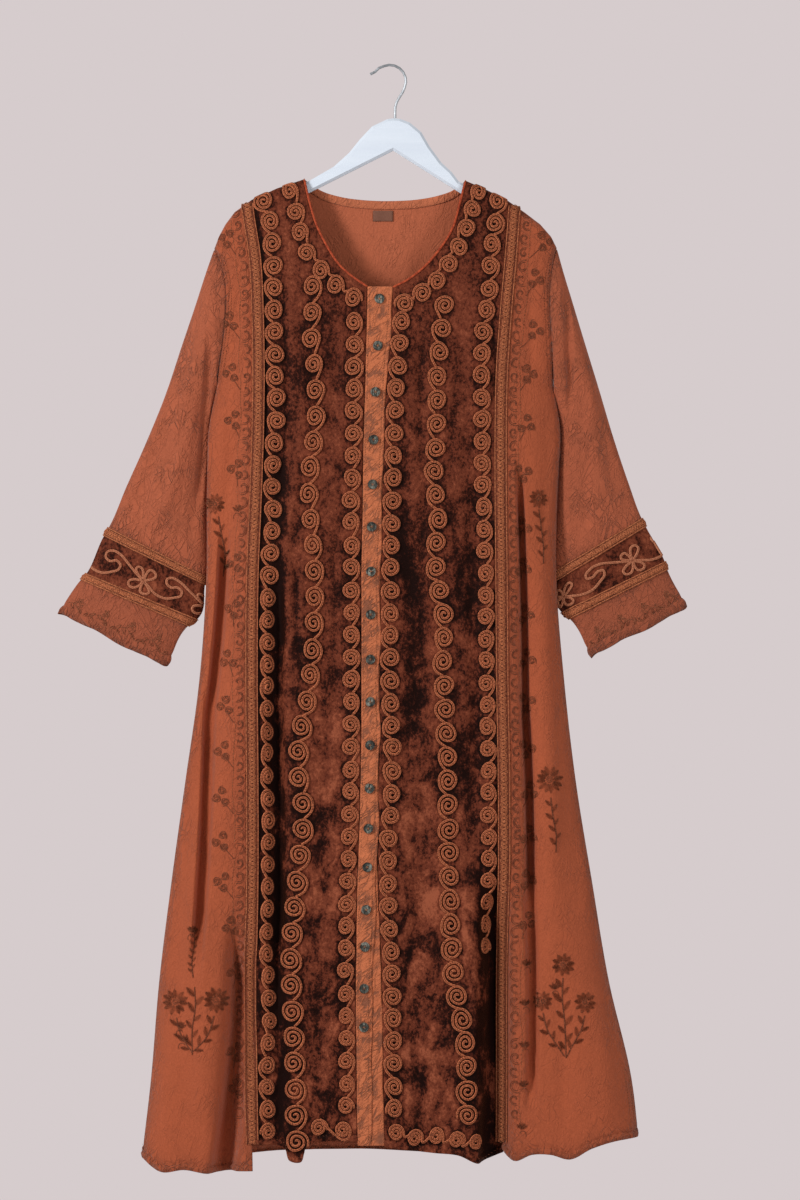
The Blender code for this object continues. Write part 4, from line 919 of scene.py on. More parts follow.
def thread_material(name, light, dark, scale=330):
    material, nodes, links, shader = new_material(name, 0.75, 0.2, (1.0, 0.55, 0.3), 0.4, 0.15)
    tone = noise(nodes, links, coordinates(nodes, "Object"), scale, 3)
    links.new(ramp(nodes, links, tone, ((0.35, dark), (0.68, light))), shader.inputs["Base Color"])
    bump(nodes, links, shader, tone, 0.3)
    return material


def shell_material():
    """Dark grey-green shell with clouded bands."""
    material, nodes, links, shader = new_material("button_shell", 0.22)
    place = coordinates(nodes, "Object")
    clouds = noise(nodes, links, place, 170, 3, (1, 1, 0.5), 1.5)
    colour = ramp(nodes, links, clouds, ((0.38, (0.012, 0.013, 0.011)), (0.52, (0.06, 0.062, 0.05)), (0.66, (0.24, 0.24, 0.2))))
    links.new(colour, shader.inputs["Base Color"])
    shader.inputs["Coat Weight"].default_value = 0.4
    shader.inputs["Coat Roughness"].default_value = 0.12
    return material


def wood_material():
    """White paint over wood, with a faint grain."""
    material, nodes, links, shader = new_material("white_wood", 0.6, specular=0.2)
    place = coordinates(nodes, "Object")
    grain = noise(nodes, links, place, 90, 4, (0.12, 1, 1), 0.4)
    colour = ramp(nodes, links, grain, ((0.3, (0.67, 0.73, 0.82)), (0.7, (0.72, 0.78, 0.86))))
    links.new(colour, shader.inputs["Base Color"])
    bump(nodes, links, shader, grain, 0.08)
    return material


def chrome_material():
    material, nodes, links, shader = new_material("hook_wire", 0.5)
    shader.inputs["Metallic"].default_value = 0.7
    marks = noise(nodes, links, coordinates(nodes, "Object"), 240, 2)
    links.new(ramp(nodes, links, marks, ((0.3, (0.3, 0.32, 0.34)), (0.7, (0.44, 0.46, 0.49)))), shader.inputs["Base Color"])
    return material


def plain_material(name, colour, roughness=0.9):
    material, nodes, links, shader = new_material(name, roughness)
    shader.inputs["Base Color"].default_value = (*colour, 1)
    return material


RUST = (0.4, 0.09, 0.036)
PALE_RUST = (0.4, 0.1, 0.046)
DARK_DYE_AND_SHADE = (0.12, 0.038, 0.021)
VELVET = velvet_material()
RAYON = rayon_material("rust_rayon", RUST, DARK_DYE_AND_SHADE, 0.3)
SLEEVE_RAYON = rayon_material("sleeve_rayon", PALE_RUST, DARK_DYE_AND_SHADE, 0.75)
CUFF = rayon_material("cuff_rayon", (0.345, 0.087, 0.041), DARK_DYE_AND_SHADE, 0.7)
CRINKLE = crinkle_material()
CORD = cord_material("couched_cord", (0.56, 0.165, 0.07), (0.1, 0.023, 0.01), 3.4)
SCROLL_CORD = cord_material("scroll_cord", (0.52, 0.2, 0.105), (0.24, 0.068, 0.032), 3.4)
BRAID = thread_material("woven_braid", (0.56, 0.185, 0.078), (0.2, 0.05, 0.021), 620)
BRAID_BASE = thread_material("braid_ground", (0.2, 0.046, 0.02), (0.09, 0.021, 0.01))
DARK_THREAD = thread_material("dark_thread", (0.28, 0.078, 0.036), (0.085, 0.022, 0.011), 620)
HOOK_THREAD = thread_material("hook_thread", (0.25, 0.066, 0.03), (0.1, 0.027, 0.014))
CUFF_THREAD = thread_material("cuff_thread", (0.36, 0.12, 0.058), (0.15, 0.042, 0.021), 620)
TAN_THREAD = thread_material("tan_thread", (0.42, 0.17, 0.08), (0.13, 0.04, 0.02))
PIPING = thread_material("neck_piping", (0.5, 0.085, 0.03), (0.25, 0.035, 0.014))
LABEL = thread_material("woven_label", (0.23, 0.1, 0.065), (0.15, 0.06, 0.038), 2400)
BINDING = rayon_material("neck_binding", (0.52, 0.15, 0.07), DARK_DYE_AND_SHADE, 0.5)
BACK_RAYON = rayon_material("back_rayon", (0.46, 0.12, 0.056), DARK_DYE_AND_SHADE, 0.3)
SHELL = shell_material()
WOOD = wood_material()
CHROME = chrome_material()


# Where the cord roundels lie
RANDOM = np.random.default_rng(7)


def roundel_centres(chain):
    """(x, drop, radius) of each roundel in a column, with the slight unevenness of hand work."""
    line = spaced(chain.line, chain.pitch)
    radii = np.linspace(chain.radius, chain.end_radius, len(line))
    return np.column_stack([line + RANDOM.normal(0, 0.5, line.shape), radii * RANDOM.normal(1, 0.02, len(line))])


def lay_roundels(chains, lo_seam, hi_seam):
    """Each column with its roundels, kept clear of the shoulder and of the trims beside them."""
    laid = []
    for chain in chains:
        centres = roundel_centres(chain)
        centres[:, 1] = np.maximum(centres[:, 1], shoulder_drop(centres[:, 0]) + 8)
        margin = centres[:, 2] + 0.8
        lo = seam(lo_seam, centres[:, 1]) + margin + BRAID_HALF_WIDTH * (lo_seam == "braid_l")
        hi = seam(hi_seam, centres[:, 1]) - margin - BRAID_HALF_WIDTH * (hi_seam == "braid_r")
        centres[:, 0] = np.minimum(np.maximum(centres[:, 0], lo), hi)
        laid.append((chain, centres))
    return laid


ROUNDELS = {
    "l": lay_roundels(CHAINS_L, "braid_l", "placket_l"),
    "r": lay_roundels(CHAINS_R, "velvet_r", "braid_r"),
}


def near_roundels(x, drop, mark):
    """1 under and just round the roundels of one front, and 0 away from them: where the velvet takes painted shade."""
    total = np.zeros(x.shape)
    for _, centres in ROUNDELS[mark]:
        for middle, middle_drop, radius in centres:
            off = ((x - middle) ** 2 + ((drop - middle_drop) / ROUNDEL_STRETCH) ** 2) / (radius + 0.3) ** 2
            total = np.maximum(total, np.exp(-np.minimum(off, 9.0) ** 3))
    return total


# Body panels

def drops_between(top, bottom, step):
    """Drops down a seam: close together where the cloth rolls over the shoulder, then even."""
    close = [0, 0.4, 1.3, 2.8, 4.8, 7.4, 10.6, 14.4]
    rest = np.linspace(top + 18, bottom - 18, max(2, round((bottom - top - 36) / step)))
    hem = bottom - np.array([15.5, 13.2, 11.2, 9.4, 7.7, 6.1, 4.6, 3.2, 1.9, 0.8, 0.0])
    return np.concatenate([top + np.array(close), rest, hem])


def near_edges(count, width, both=True):
    """Shares across a panel: even, with two more close to each edge."""
    close = np.array([0, 0.9, 2.2]) / width
    middle = np.linspace(5.0 / width, 1 - 5.0 / width, count)
    return np.concatenate([close, middle, 1 - close[::-1]])


def coons(left, right, top, bottom):
    """(x, drop) over a panel from its four edges, each sampled to match the one opposite."""
    lengths = np.concatenate([[0], np.cumsum(np.linalg.norm(np.diff(left, axis=0), axis=1))])
    v = (lengths / lengths[-1])[:, None, None]
    ends = np.linalg.norm(top - top[0], axis=1) / np.linalg.norm(top[-1] - top[0])
    u = ends[None, :, None]
    ruled = left[:, None] * (1 - u) + right[:, None] * u
    across = top[None] * (1 - v) + bottom[None] * v
    corners = (top[0] * (1 - v) + bottom[0] * v) * (1 - u) + (top[-1] * (1 - v) + bottom[-1] * v) * u
    return ruled + across - corners


def curve_at(rows, shares):
    """Points at given shares of a table's length."""
    rows = np.asarray(rows, float)
    lengths = np.concatenate([[0], np.cumsum(np.linalg.norm(np.diff(rows, axis=0), axis=1))])
    at = np.asarray(shares) * lengths[-1]
    return np.stack([hermite(at, lengths, rows[:, 0]), hermite(at, lengths, rows[:, 1])], axis=-1)


def shoulder_run(start, end, shares):
    """Points along the shoulder line between two x."""
    x = start + (end - start) * np.asarray(shares)
    return np.stack([x, shoulder_drop(x)], axis=-1)


def top_corner(name):
    """The point where a seam meets the shoulder line."""
    drop = 180.0
    for _ in range(8):
        drop = float(shoulder_drop(float(seam(name, drop))))
    return float(seam(name, drop)), drop


def hem_gathers(x, above):
    """How far a stitched hem stands out, with a small gather every few millimetres."""
    roll = np.exp(-(((above - 4.0) / 3.6) ** 2))
    gather = 0.5 + 0.5 * np.sin(x * 0.62 + 1.6 * np.sin(x * 0.09) + 0.12 * above)
    stitched = np.exp(-(((above - 9.2) / 1.3) ** 2))
    pull = np.exp(-(((above - 11.0) / 7.0) ** 2)) * (gather - 0.5)
    return 2.3 * roll * (0.4 + 0.6 * gather) - 1.3 * stitched + 1.1 * pull


def panel(name, left, right, top, bottom, facing, thickness, material, slot, hem=True, ditch=(1, 1)):
    """A body panel's shell: a stitched hem below, and edges that dip into their seams."""
    flat = coons(left, right, top, bottom)
    x, drop = flat[..., 0], flat[..., 1]
    gap = np.array([SEAM_GAP / 2, -SEAM_GAP / 2])
    from_left = np.abs(x - x[:, :1])
    from_right = np.abs(x - x[:, -1:])
    dip = ditch[0] * np.exp(-((from_left / 1.3) ** 2)) + ditch[1] * np.exp(-((from_right / 1.3) ** 2))
    above = bottom[None, :, 1] - drop
    out = -0.8 * dip * (drop - top[None, :, 1] > 2)
    if hem:
        out = out + hem_gathers(x, above)
    # edge: dye left dark along the seams, and painted shade along the hem.
    edge = np.clip(np.exp(-from_left / 5) * ditch[0] + np.exp(-from_right / 5) * ditch[1] + np.exp(-above / 9), 0, 1)
    # A band of painted shade beside the braid on each side front, added to edge.
    beside = {"side_front_l_cloth": from_right, "side_front_r_cloth": from_left}.get(name)
    if beside is not None:
        edge = np.clip(edge + 0.3 * np.exp(-((beside / 30) ** 4)), 0, 1)
    shade = None
    if slot == "velvet":
        # The valleys dip the cloth, and also give painted shade through the shade attribute.
        valley = valley_depth(x, drop)
        out = out - VALLEY_DEPTH * valley
        # A band of painted shade on the velvet beside the left braid.
        beside_braid = from_left if name == "velvet_front_l_cloth" else 99.0
        braid_shade = 1.8 * np.exp(-(((beside_braid - 9.5) / 3.6) ** 2))
        # shade holds the velvet's painted shade: the valleys, the band beside the braid, and under and round the
        # roundels.
        shade = valley + braid_shade + 1.6 * near_roundels(x, drop, name[13])
    points = cloth(x, drop, facing, out)
    points[:, 0, 0] += gap[0]
    points[:, -1, 0] += gap[1]
    uv = np.stack([x, -drop], axis=-1)
    return add_grid(name, points, uv, material, slot, thickness, flip=facing == BACK, edge=edge, shade=shade)


def seam_line(name, drops):
    return np.stack([seam(name, drops), drops], axis=-1)


def side_line(side, top, bottom, count):
    """The armhole and the side seam below it, as one edge of a panel."""
    drops = drops_between(top, bottom, (bottom - top - 18) / count)
    return np.stack([side_edge(side, drops), drops], axis=-1)


def build_velvet_fronts():
    step = 4.1
    corner = top_corner("braid_l")
    shares = near_edges(54, 150)
    left = drops_between(corner[1], HEM_VELVET_L[0][1], step)
    right = FRONT_NECK_L[0][1] + (left - left[0]) * (HEM_VELVET_L[-1][1] - FRONT_NECK_L[0][1]) / (left[-1] - left[0])
    row = np.argmin(np.abs(right - FRONT_NECK_L[-1][1]))
    right[row] = FRONT_NECK_L[-1][1]
    fine = spaced(FRONT_NECK_L, 2)
    neck_x = np.interp(right, fine[:, 1], fine[:, 0])
    right_x = np.where(right < FRONT_NECK_L[-1][1], neck_x, seam("placket_l", right))
    panel("velvet_front_l_cloth", seam_line("braid_l", left), np.stack([right_x, right], -1),
          shoulder_run(corner[0], FRONT_NECK_L[0][0], shares), curve_at(HEM_VELVET_L, shares),
          FRONT, 1.6, VELVET, "velvet")  # fmt: skip
    corner = top_corner("braid_r")
    right = drops_between(corner[1], HEM_VELVET_R[-1][1], step)
    left = FRONT_NECK_R[-1][1] + (right - right[0]) * (HEM_VELVET_R[0][1] - FRONT_NECK_R[-1][1]) / (right[-1] - right[0])
    row = np.argmin(np.abs(left - FRONT_NECK_R[0][1]))
    left[row] = FRONT_NECK_R[0][1]
    fine = spaced(FRONT_NECK_R, 2)[::-1]
    neck_x = np.interp(left, fine[:, 1], fine[:, 0])
    left_x = np.where(left < FRONT_NECK_R[0][1], neck_x, seam("velvet_r", left))
    panel("velvet_front_r_cloth", np.stack([left_x, left], -1), seam_line("braid_r", right),
          shoulder_run(FRONT_NECK_R[-1][0], corner[0], shares), curve_at(HEM_VELVET_R, shares),
          FRONT, 1.6, VELVET, "velvet")  # fmt: skip


def build_side_fronts():
    corner = top_corner("braid_l")
    shares = near_edges(50, 100)
    left = side_line(LEFT, ARMHOLE[LEFT][0][1], HEM_SIDE_L[0][1], 250)
    drops = corner[1] + (left[:, 1] - left[0, 1]) * (HEM_SIDE_L[-1][1] - corner[1]) / (left[-1, 1] - left[0, 1])
    panel("side_front_l_cloth", left, seam_line("braid_l", drops),
          shoulder_run(ARMHOLE[LEFT][0][0], corner[0], shares), curve_at(HEM_SIDE_L, shares),
          FRONT, 1.1, RAYON, "rayon")  # fmt: skip
    corner = top_corner("braid_r")
    right = side_line(RIGHT, ARMHOLE[RIGHT][0][1], HEM_SIDE_R[-1][1], 250)
    drops = corner[1] + (right[:, 1] - right[0, 1]) * (HEM_SIDE_R[0][1] - corner[1]) / (right[-1, 1] - right[0, 1])
    panel("side_front_r_cloth", seam_line("braid_r", drops), right,
          shoulder_run(corner[0], ARMHOLE[RIGHT][0][0], shares), curve_at(HEM_SIDE_R, shares),
          FRONT, 1.1, RAYON, "rayon")  # fmt: skip


def build_back():
    left = side_line(LEFT, ARMHOLE[LEFT][0][1], HEM_BACK[0][1], 188)
    right = side_line(RIGHT, ARMHOLE[RIGHT][0][1], HEM_BACK[-1][1], 188)
    start, end = ARMHOLE[LEFT][0][0], ARMHOLE[RIGHT][0][0]
    neck_l, neck_r = BACK_NECK[0][0], BACK_NECK[-1][0]
    first = shoulder_run(start, neck_l, np.linspace(0, 1, 30)[:-1])
    middle = curve_at(BACK_NECK, np.linspace(0, 1, 52))
    last = shoulder_run(neck_r, end, np.linspace(0, 1, 30)[1:])
    top = np.concatenate([first, middle, last])
    u = np.linalg.norm(top - top[0], axis=1) / np.linalg.norm(top[-1] - top[0])
    bottom = curve_at(HEM_BACK, u)
    panel("back_cloth", left, right, top, bottom, BACK, 1.1, BACK_RAYON, "rayon")


build_velvet_fronts()
build_side_fronts()
build_back()


# Placket and buttons

def band(name, edge_l, edge_r, top, out, seed):
    """One long crinkled band of the placket."""
    drops = np.concatenate([[top, top + 0.8], np.arange(top + 2.5, PLACKET_HEM - 1.5, 2.3), [PLACKET_HEM - 0.6, PLACKET_HEM]])
    lo, hi = edge_l(drops), edge_r(drops)
    shares = np.array([0, 0.035, 0.09, 0.15, 0.22, 0.3, 0.4, 0.5, 0.6, 0.7, 0.78, 0.85, 0.91, 0.965, 1.0])
    wander = 0.5 * np.sin(drops * 0.045 + seed) + 0.35 * np.sin(drops * 0.11 + 2 * seed)
    hi = hi + (1.2 * np.sin(drops * 0.052 + 0.6) + 1.8 * np.exp(-(((drops - 338) / 26) ** 2))) * (out > 0)
    x = lo[:, None] + (hi - lo)[:, None] * shares + wander[:, None] * (0.3 + 0.7 * shares)
    drop = np.repeat(drops[:, None], len(shares), 1)
    crinkle = 0.45 * np.sin(drop * 0.5 + 2.5 * np.sin(x * 0.13 + drop * 0.05 + seed)) * np.sin(x * 0.21 + drop * 0.11)
    roll = 0.8 * (np.exp(-((shares / 0.035) ** 2)) + np.exp(-(((1 - shares) / 0.035) ** 2)))
    stitched = 0.5 * np.exp(-(((shares - 0.85) / 0.03) ** 2))
    height = out + crinkle * np.sin(math.pi * shares) ** 0.5 - roll - stitched
    edge = np.clip(np.exp(-shares / 0.06) + np.exp(-(1 - shares) / 0.06), 0, 1) + 0 * drop
    points = cloth(x, drop, FRONT, height)
    return add_grid(name, points, np.stack([x, -drop], -1), CRINKLE, "placket", 1.0, edge=edge)


def build_placket():
    top = FRONT_NECK_L[-1][1]
    gap = SEAM_GAP
    band("placket_over_cloth", lambda d: seam("placket_l", d) + gap, lambda d: seam("placket_r", d) - gap, top, 1.1, 0.4)
    band("placket_under_cloth", lambda d: seam("placket_l", d) + 3, lambda d: seam("velvet_r", d) - gap, top + 4, -0.9, 2.1)


def button_mesh():
    """A four-hole button's middle: a flat extruded disc with its holes; build_buttons sets it in a round rim, which
    leaves it dished.
    """
    curve = bpy.data.curves.new("button", "CURVE")
    curve.dimensions = "2D"
    curve.fill_mode = "BOTH"
    curve.resolution_u = 10
    places = [(0, 0, BUTTON_RADIUS - 0.9)] + [(1.45 * a, 1.45 * b, 0.75) for a in (-1, 1) for b in (-1, 1)]
    for x, y, radius in places:
        spline = curve.splines.new("POLY")
        spline.use_cyclic_u = True
        steps = 28 if radius > 2 else 9
        spline.points.add(steps - 1)
        for i, point in enumerate(spline.points):
            turn = 2 * math.pi * i / steps
            point.co = (MM * (x + radius * math.cos(turn)), MM * (y + radius * math.sin(turn)), 0, 1)
    curve.extrude = 0.55 * MM
    maker = bpy.data.objects.new("button_maker", curve)
    bpy.context.scene.collection.objects.link(maker)
    evaluated = maker.evaluated_get(bpy.context.evaluated_depsgraph_get())
    mesh = bpy.data.meshes.new_from_object(evaluated)
    bpy.data.objects.remove(maker)
    bpy.data.curves.remove(curve)
    return mesh


def build_buttons():
    disc = button_mesh()
    disc_points = np.array([v.co for v in disc.vertices]) / MM
    disc_faces = [list(p.vertices) for p in disc.polygons]
    turns = np.linspace(0, 2 * math.pi, 28, endpoint=False)
    profile = ((BUTTON_RADIUS - 1.4, 0.55), (BUTTON_RADIUS - 1.1, 1.0), (BUTTON_RADIUS - 0.5, 1.15),
               (BUTTON_RADIUS, 0.6), (BUTTON_RADIUS - 0.1, -0.2), (BUTTON_RADIUS - 0.9, -0.75),
               (BUTTON_RADIUS - 1.4, -0.55))  # fmt: skip
    rim_points = np.array([(r * math.cos(t), r * math.sin(t), h) for r, h in profile for t in turns])
    rings, count = len(profile), len(turns)
    rim_faces = []
    for i in range(rings):
        for k in range(count):
            a, b = i * count + k, i * count + (k + 1) % count
            c, d = ((i + 1) % rings) * count + (k + 1) % count, ((i + 1) % rings) * count + k
            rim_faces.append([a, d, c, b])
    points = np.concatenate([disc_points, rim_points])
    faces = disc_faces + [[len(disc_points) + i for i in face] for face in rim_faces]
    stitch = np.array([(-1.45, -1.45, 0.0), (-1.2, -1.2, 0.75), (0, 0, 0.95), (1.2, 1.2, 0.75), (1.45, 1.45, 0.0)])
    for number, drop in enumerate(BUTTON_DROPS, 1):
        x = (seam("placket_l", drop) + seam("placket_r", drop)) / 2
        here, there = np.array([float(x)]), np.array([float(drop)])
        origin = cloth(here, there, FRONT, 3.0)[0]
        normal = Vector(outward(here, there, FRONT)[0])
        turn = normal.to_track_quat("Z", "Y").to_matrix()
        spin = np.array(turn) @ np.array(
            [[math.cos(number), -math.sin(number), 0], [math.sin(number), math.cos(number), 0], [0, 0, 1]]
        )
        corners = np.concatenate([points[face][:, :2] for face in faces])
        piece = add_mesh(f"button_{number:02d}_shell", points @ spin.T + origin, faces, corners, SHELL, "button")
        piece.data.set_sharp_from_angle(angle=math.radians(38))
        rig.replaces(piece, f"button_{number:02d}")
        up = np.repeat(np.array(normal)[None], len(stitch), 0)
        crossing = stitch * (1, -1, 1)
        paths = [(s @ spin.T + origin, up) for s in (stitch, crossing)]
        add_threads(f"button_{number:02d}_thread", paths, 0.4, 4, TAN_THREAD, "placket")


build_placket()
build_buttons()


# Cord roundels on the velvet

def roundel_path(centre, following, tail):
    """A spiral from its middle out, then the tail that runs down to the next roundel."""
    x, drop, radius = centre
    outer = radius + 0.3 - CORD_RADIUS
    sweep = 2 * math.pi * CORD_TURNS
    angles = np.linspace(0, sweep, round(sweep * outer / 2 / CORD_STEP) + 8)
    reach = 0.9 + (outer - 0.9) * (angles / sweep) ** 0.92
    end = math.radians(-24 + 12 * math.sin(drop * 0.9))
    turn = end + (sweep - angles)
    reach = reach * (1 + 0.05 * np.sin(2 * turn + drop * 0.37) + 0.03 * np.sin(3 * turn + x * 1.3))
    spiral = np.stack([tail * reach * np.cos(turn), -reach * np.sin(turn) * ROUNDEL_STRETCH], -1)
    if following is None:
        path = spiral
    else:
        goal = np.array([following[0] - x + tail * 1.5, following[1] - drop - following[2] * 0.95])
        last = spiral[-1]
        ahead = spiral[-1] - spiral[-2]
        ahead = ahead / np.linalg.norm(ahead)
        bend = last + ahead * np.linalg.norm(goal - last) * 0.45
        steps = np.linspace(0, 1, max(4, round(np.linalg.norm(goal - last) / CORD_STEP)))[1:, None]
        link = (1 - steps) ** 2 * last + 2 * steps * (1 - steps) * bend + steps**2 * goal
        path = np.concatenate([spiral, link])
    squeeze = max(0.6, abs(outward(np.array([x]), np.array([drop]), FRONT)[0, 1]))
    return np.stack([x + path[:, 0] * squeeze, drop + path[:, 1]], -1)


def build_cords():
    for mark, columns in ROUNDELS.items():
        paths = []
        for chain, centres in columns:
            for i, centre in enumerate(centres):
                following = centres[i + 1] if i + 1 < len(centres) else None
                flat = roundel_path(centre, following, chain.tail)
                flat[:, 1] = np.maximum(flat[:, 1], shoulder_drop(flat[:, 0]) + 1.2)
                sunk = VALLEY_DEPTH * valley_depth(flat[:, 0], flat[:, 1])
                paths.append(on_body(flat, FRONT, 0.9 - sunk))
        add_threads(f"roundels_{mark}", paths, CORD_RADIUS, 5, CORD, "velvet")


build_cords()


# Braids

def braid_threads(centre_line, half, wave, on):
    """Threads of a flat braid: zigzags that cross between two straight edge threads."""
    count = len(centre_line)
    length = np.concatenate([[0], np.cumsum(np.linalg.norm(np.diff(centre_line, axis=0), axis=1))])
    paths = []
    for phase in (0, 0.18, 0.5, 0.68):
        beat = 2 * math.pi * (length / wave + phase)
        across = half * 0.72 * (2 / math.pi) * np.arcsin(np.sin(beat))
        lift = 1.55 + 0.4 * np.cos(2 * beat)
        paths.append(on(centre_line, across, lift))
    for edge in (-1, 1):
        paths.append(on(centre_line, np.full(count, edge * half * 0.95), np.full(count, 1.35)))
    return paths


def build_body_braids():
    for name in ("braid_l", "braid_r"):
        top = top_corner(name)[1] + BRAID_TOP_BELOW
        drops = np.arange(top, BRAID_END, 1.8)
        line = seam_line(name, drops)

        def on(rows, across, lift):
            flat = rows + np.stack([across, 0 * across], -1)
            return on_body(flat, FRONT, lift)

        paths = braid_threads(line, BRAID_HALF_WIDTH, 9.6, on)
        add_threads(f"{name}_threads", paths, 0.72, 4, BRAID, "braid")
        drops = np.arange(top, BRAID_END, 5.0)
        shares = np.array([-1, -0.9, -0.5, 0, 0.5, 0.9, 1]) * BRAID_HALF_WIDTH
        x = seam(name, drops)[:, None] + shares
        drop = np.repeat(drops[:, None], len(shares), 1)
        ground = add_grid(f"{name}_ground", cloth(x, drop, FRONT, 1.0 - 0.5 * (np.abs(shares) > 7)),
                          np.stack([x, -drop], -1), BRAID_BASE, "braid", 0.9)  # fmt: skip
        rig.replaces(ground, name)


build_body_braids()


# Embroidery on the side fronts, in (x, drop) millimetres
BORDER_OUT = 16.0
BORDER_TOP = 190.0
BORDER_END = 1392.0
HOOK_PITCH = 18.0
HOOK = ((-5.5, 8.5), (-1, 8.8), (4.2, 6), (6.2, 0), (3.6, -5.6), (-1.8, -6.2), (-4.2, -2.6), (-2.2, 1.0), (0.8, 0.2))
VINE_OUT = 24.0
ROSETTE_RADIUS = 5.8
TREFOIL = ((-1.6, -8.2), (6.8, 1.0), (-3.8, 6.8))
TREFOILS_L = (
    (-211, 225), (-207, 334), (-205, 400), (-202, 462), (-198, 525), (-199, 647), (-202, 707), (-208, 772),
    (-212, 832), (-215, 891), (-217, 950), (-217, 1008), (-216, 1060), (-205, 1118), (-199, 1178),
    (-199, 1282), (-198, 1329),
)  # fmt: skip
TREFOILS_R = (
    (202, 229), (190, 278), (189, 345), (181, 402), (178, 467), (174, 530), (173, 600), (174, 653),
    (177, 714), (179, 771), (179, 828), (179, 889), (182, 943), (181, 1000), (180, 1058), (179, 1112),
)  # fmt: skip
BUDS_L = ((-270, 1247), (-267, 1264), (-255, 1123), (-196, 577))
BUDS_R = ((178, 1166), (176, 1217), (175, 1271), (174, 1322), (172, 1377), (214, 1196))
# Flowers: middle, radius, petals
FLOWERS_L = ((-226, 570, 14, 11), (-277, 1216, 18, 11), (-224, 1213, 18, 11))
FLOWERS_R = ((194, 563, 13, 10), (208, 928, 19, 12), (225, 1167, 16, 10), (254, 1216, 15, 10), (199, 1214, 14, 10))
# Stems with paired leaves: a path, the leaves' length, and how far apart they stand
Stem = namedtuple("Stem", "leaf apart path")
STEMS_L = (
    Stem(12, 17, ((-222, 586), (-219, 606), (-214, 634), (-216, 664))),
    Stem(13, 17, ((-276, 1236), (-271, 1256), (-262, 1272), (-254, 1282))),
    Stem(13, 17, ((-227, 1233), (-233, 1254), (-244, 1270), (-256, 1281))),
    Stem(8, 9, ((-254, 1118), (-253, 1140), (-256, 1162), (-254, 1184))),
    Stem(15, 21, ((-252, 1196), (-251, 1222), (-255, 1250), (-255, 1284))),
)
STEMS_R = (
    Stem(11, 17, ((194, 577), (197, 600), (200, 626), (200, 648))),
    Stem(12, 17, ((209, 951), (212, 975), (216, 998), (216, 1022))),
    Stem(16, 20, ((225, 1184), (224, 1210), (227, 1240), (229, 1288))),
    Stem(13, 18, ((253, 1233), (248, 1252), (238, 1270), (230, 1286))),
    Stem(13, 18, ((199, 1229), (204, 1250), (216, 1270), (227, 1286))),
)
SEWING = np.random.default_rng(11)


def arc(x, drop, first, last, start, turns, count):
    """A turn of thread, or a spiral where its first and last radius differ."""
    share = np.linspace(0, 1, count)
    reach = first + (last - first) * share
    angle = math.radians(start) + 2 * math.pi * turns * share
    return np.stack([x + reach * np.cos(angle), drop + reach * np.sin(angle)], -1)


def leaf(x, drop, length, width, angle, count=11):
    """A pointed loop of thread that starts and ends at its foot."""
    turn = np.linspace(0, 2 * math.pi, count)
    along = length * (1 - np.cos(turn)) / 2
    across = width / 2 * np.sin(turn) * np.sqrt(np.clip(1.15 - along / length, 0, 1))
    c, s = math.cos(angle), math.sin(angle)
    return np.stack([x + along * c - across * s, drop + along * s + across * c], -1)


def satin(x, drop, length, width, angle, pitch=0.72):
    """A petal or leaf filled with satin stitch: one thread to and fro across it."""
    count = max(6, round(length / pitch))
    share = np.linspace(0.02, 1, count)
    across = width / 2 * np.sin(math.pi * share) ** 0.7 * np.where(np.arange(count) % 2, 1, -1)
    along = length * share
    c, s = math.cos(angle), math.sin(angle)
    return np.stack([x + along * c - across * s, drop + along * s + across * c], -1)


def rosette(x, drop, radius):
    start = SEWING.uniform(0, 360)
    size = radius * SEWING.uniform(0.9, 1.08)
    path = arc(0, 0, 1.0, size, start, 3.0, 46)
    looped = 1 + 0.08 * np.sin(np.linspace(0, 52, len(path)))
    return [path * looped[:, None] + (x, drop) + SEWING.normal(0, 0.12, path.shape)]


def trefoil(x, drop, mirror, small=1.0):
    """Three coiled rosettes; build_embroidery sews the stem that runs to them."""
    tilt = SEWING.normal(0, 0.22)
    c, s = math.cos(tilt), math.sin(tilt)
    paths = []
    for a, b in TREFOIL:
        a = a * mirror
        paths += rosette(x + small * (a * c - b * s), drop + small * (a * s + b * c), ROSETTE_RADIUS * small)
    return paths


def flower(x, drop, radius, petals):
    """An aster: petals filled with satin stitch, round a coiled eye."""
    paths = [arc(x, drop, 0.8, radius * 0.26, SEWING.uniform(0, 360), 2.2, 20)]
    first = SEWING.uniform(0, 2 * math.pi)
    for i in range(petals):
        angle = first + 2 * math.pi * i / petals + SEWING.normal(0, 0.05)
        reach = radius * SEWING.uniform(0.62, 0.74)
        foot = radius * 0.26
        x0, drop0 = x + foot * math.cos(angle), drop + foot * math.sin(angle)
        paths.append(satin(x0, drop0, reach, 2 * math.pi * radius * 0.62 / petals, angle))
    return paths


def bud(x, drop, mirror):
    """A few petals on a curled stem."""
    paths = [arc(x, drop + 9, 2.5, 6.5, 200 if mirror > 0 else -20, 0.55 * mirror, 9)]
    for angle in (-2.4, -1.9, -1.45, -1.0, -0.6):
        paths.append(satin(x, drop + 3, 9.0, 3.6, angle + SEWING.normal(0, 0.08)))
    return paths


def stem(shape):
    line = along_path(shape.path, 1.6)
    lengths = np.concatenate([[0], np.cumsum(np.linalg.norm(np.diff(line, axis=0), axis=1))])
    paths = [line, line + (0.9, 0)]
    for number, at in enumerate(np.arange(shape.apart * 0.6, lengths[-1] - 4, shape.apart * 0.5)):
        row = int(np.searchsorted(lengths, at))
        ahead = line[min(row + 1, len(line) - 1)] - line[max(row - 1, 0)]
        lean = math.atan2(ahead[1], ahead[0]) + (-1 if number % 2 else 1) * 2.45
        length = shape.leaf * SEWING.uniform(0.85, 1.12)
        paths.append(satin(*line[row], length, length * 0.4, lean))
    return paths


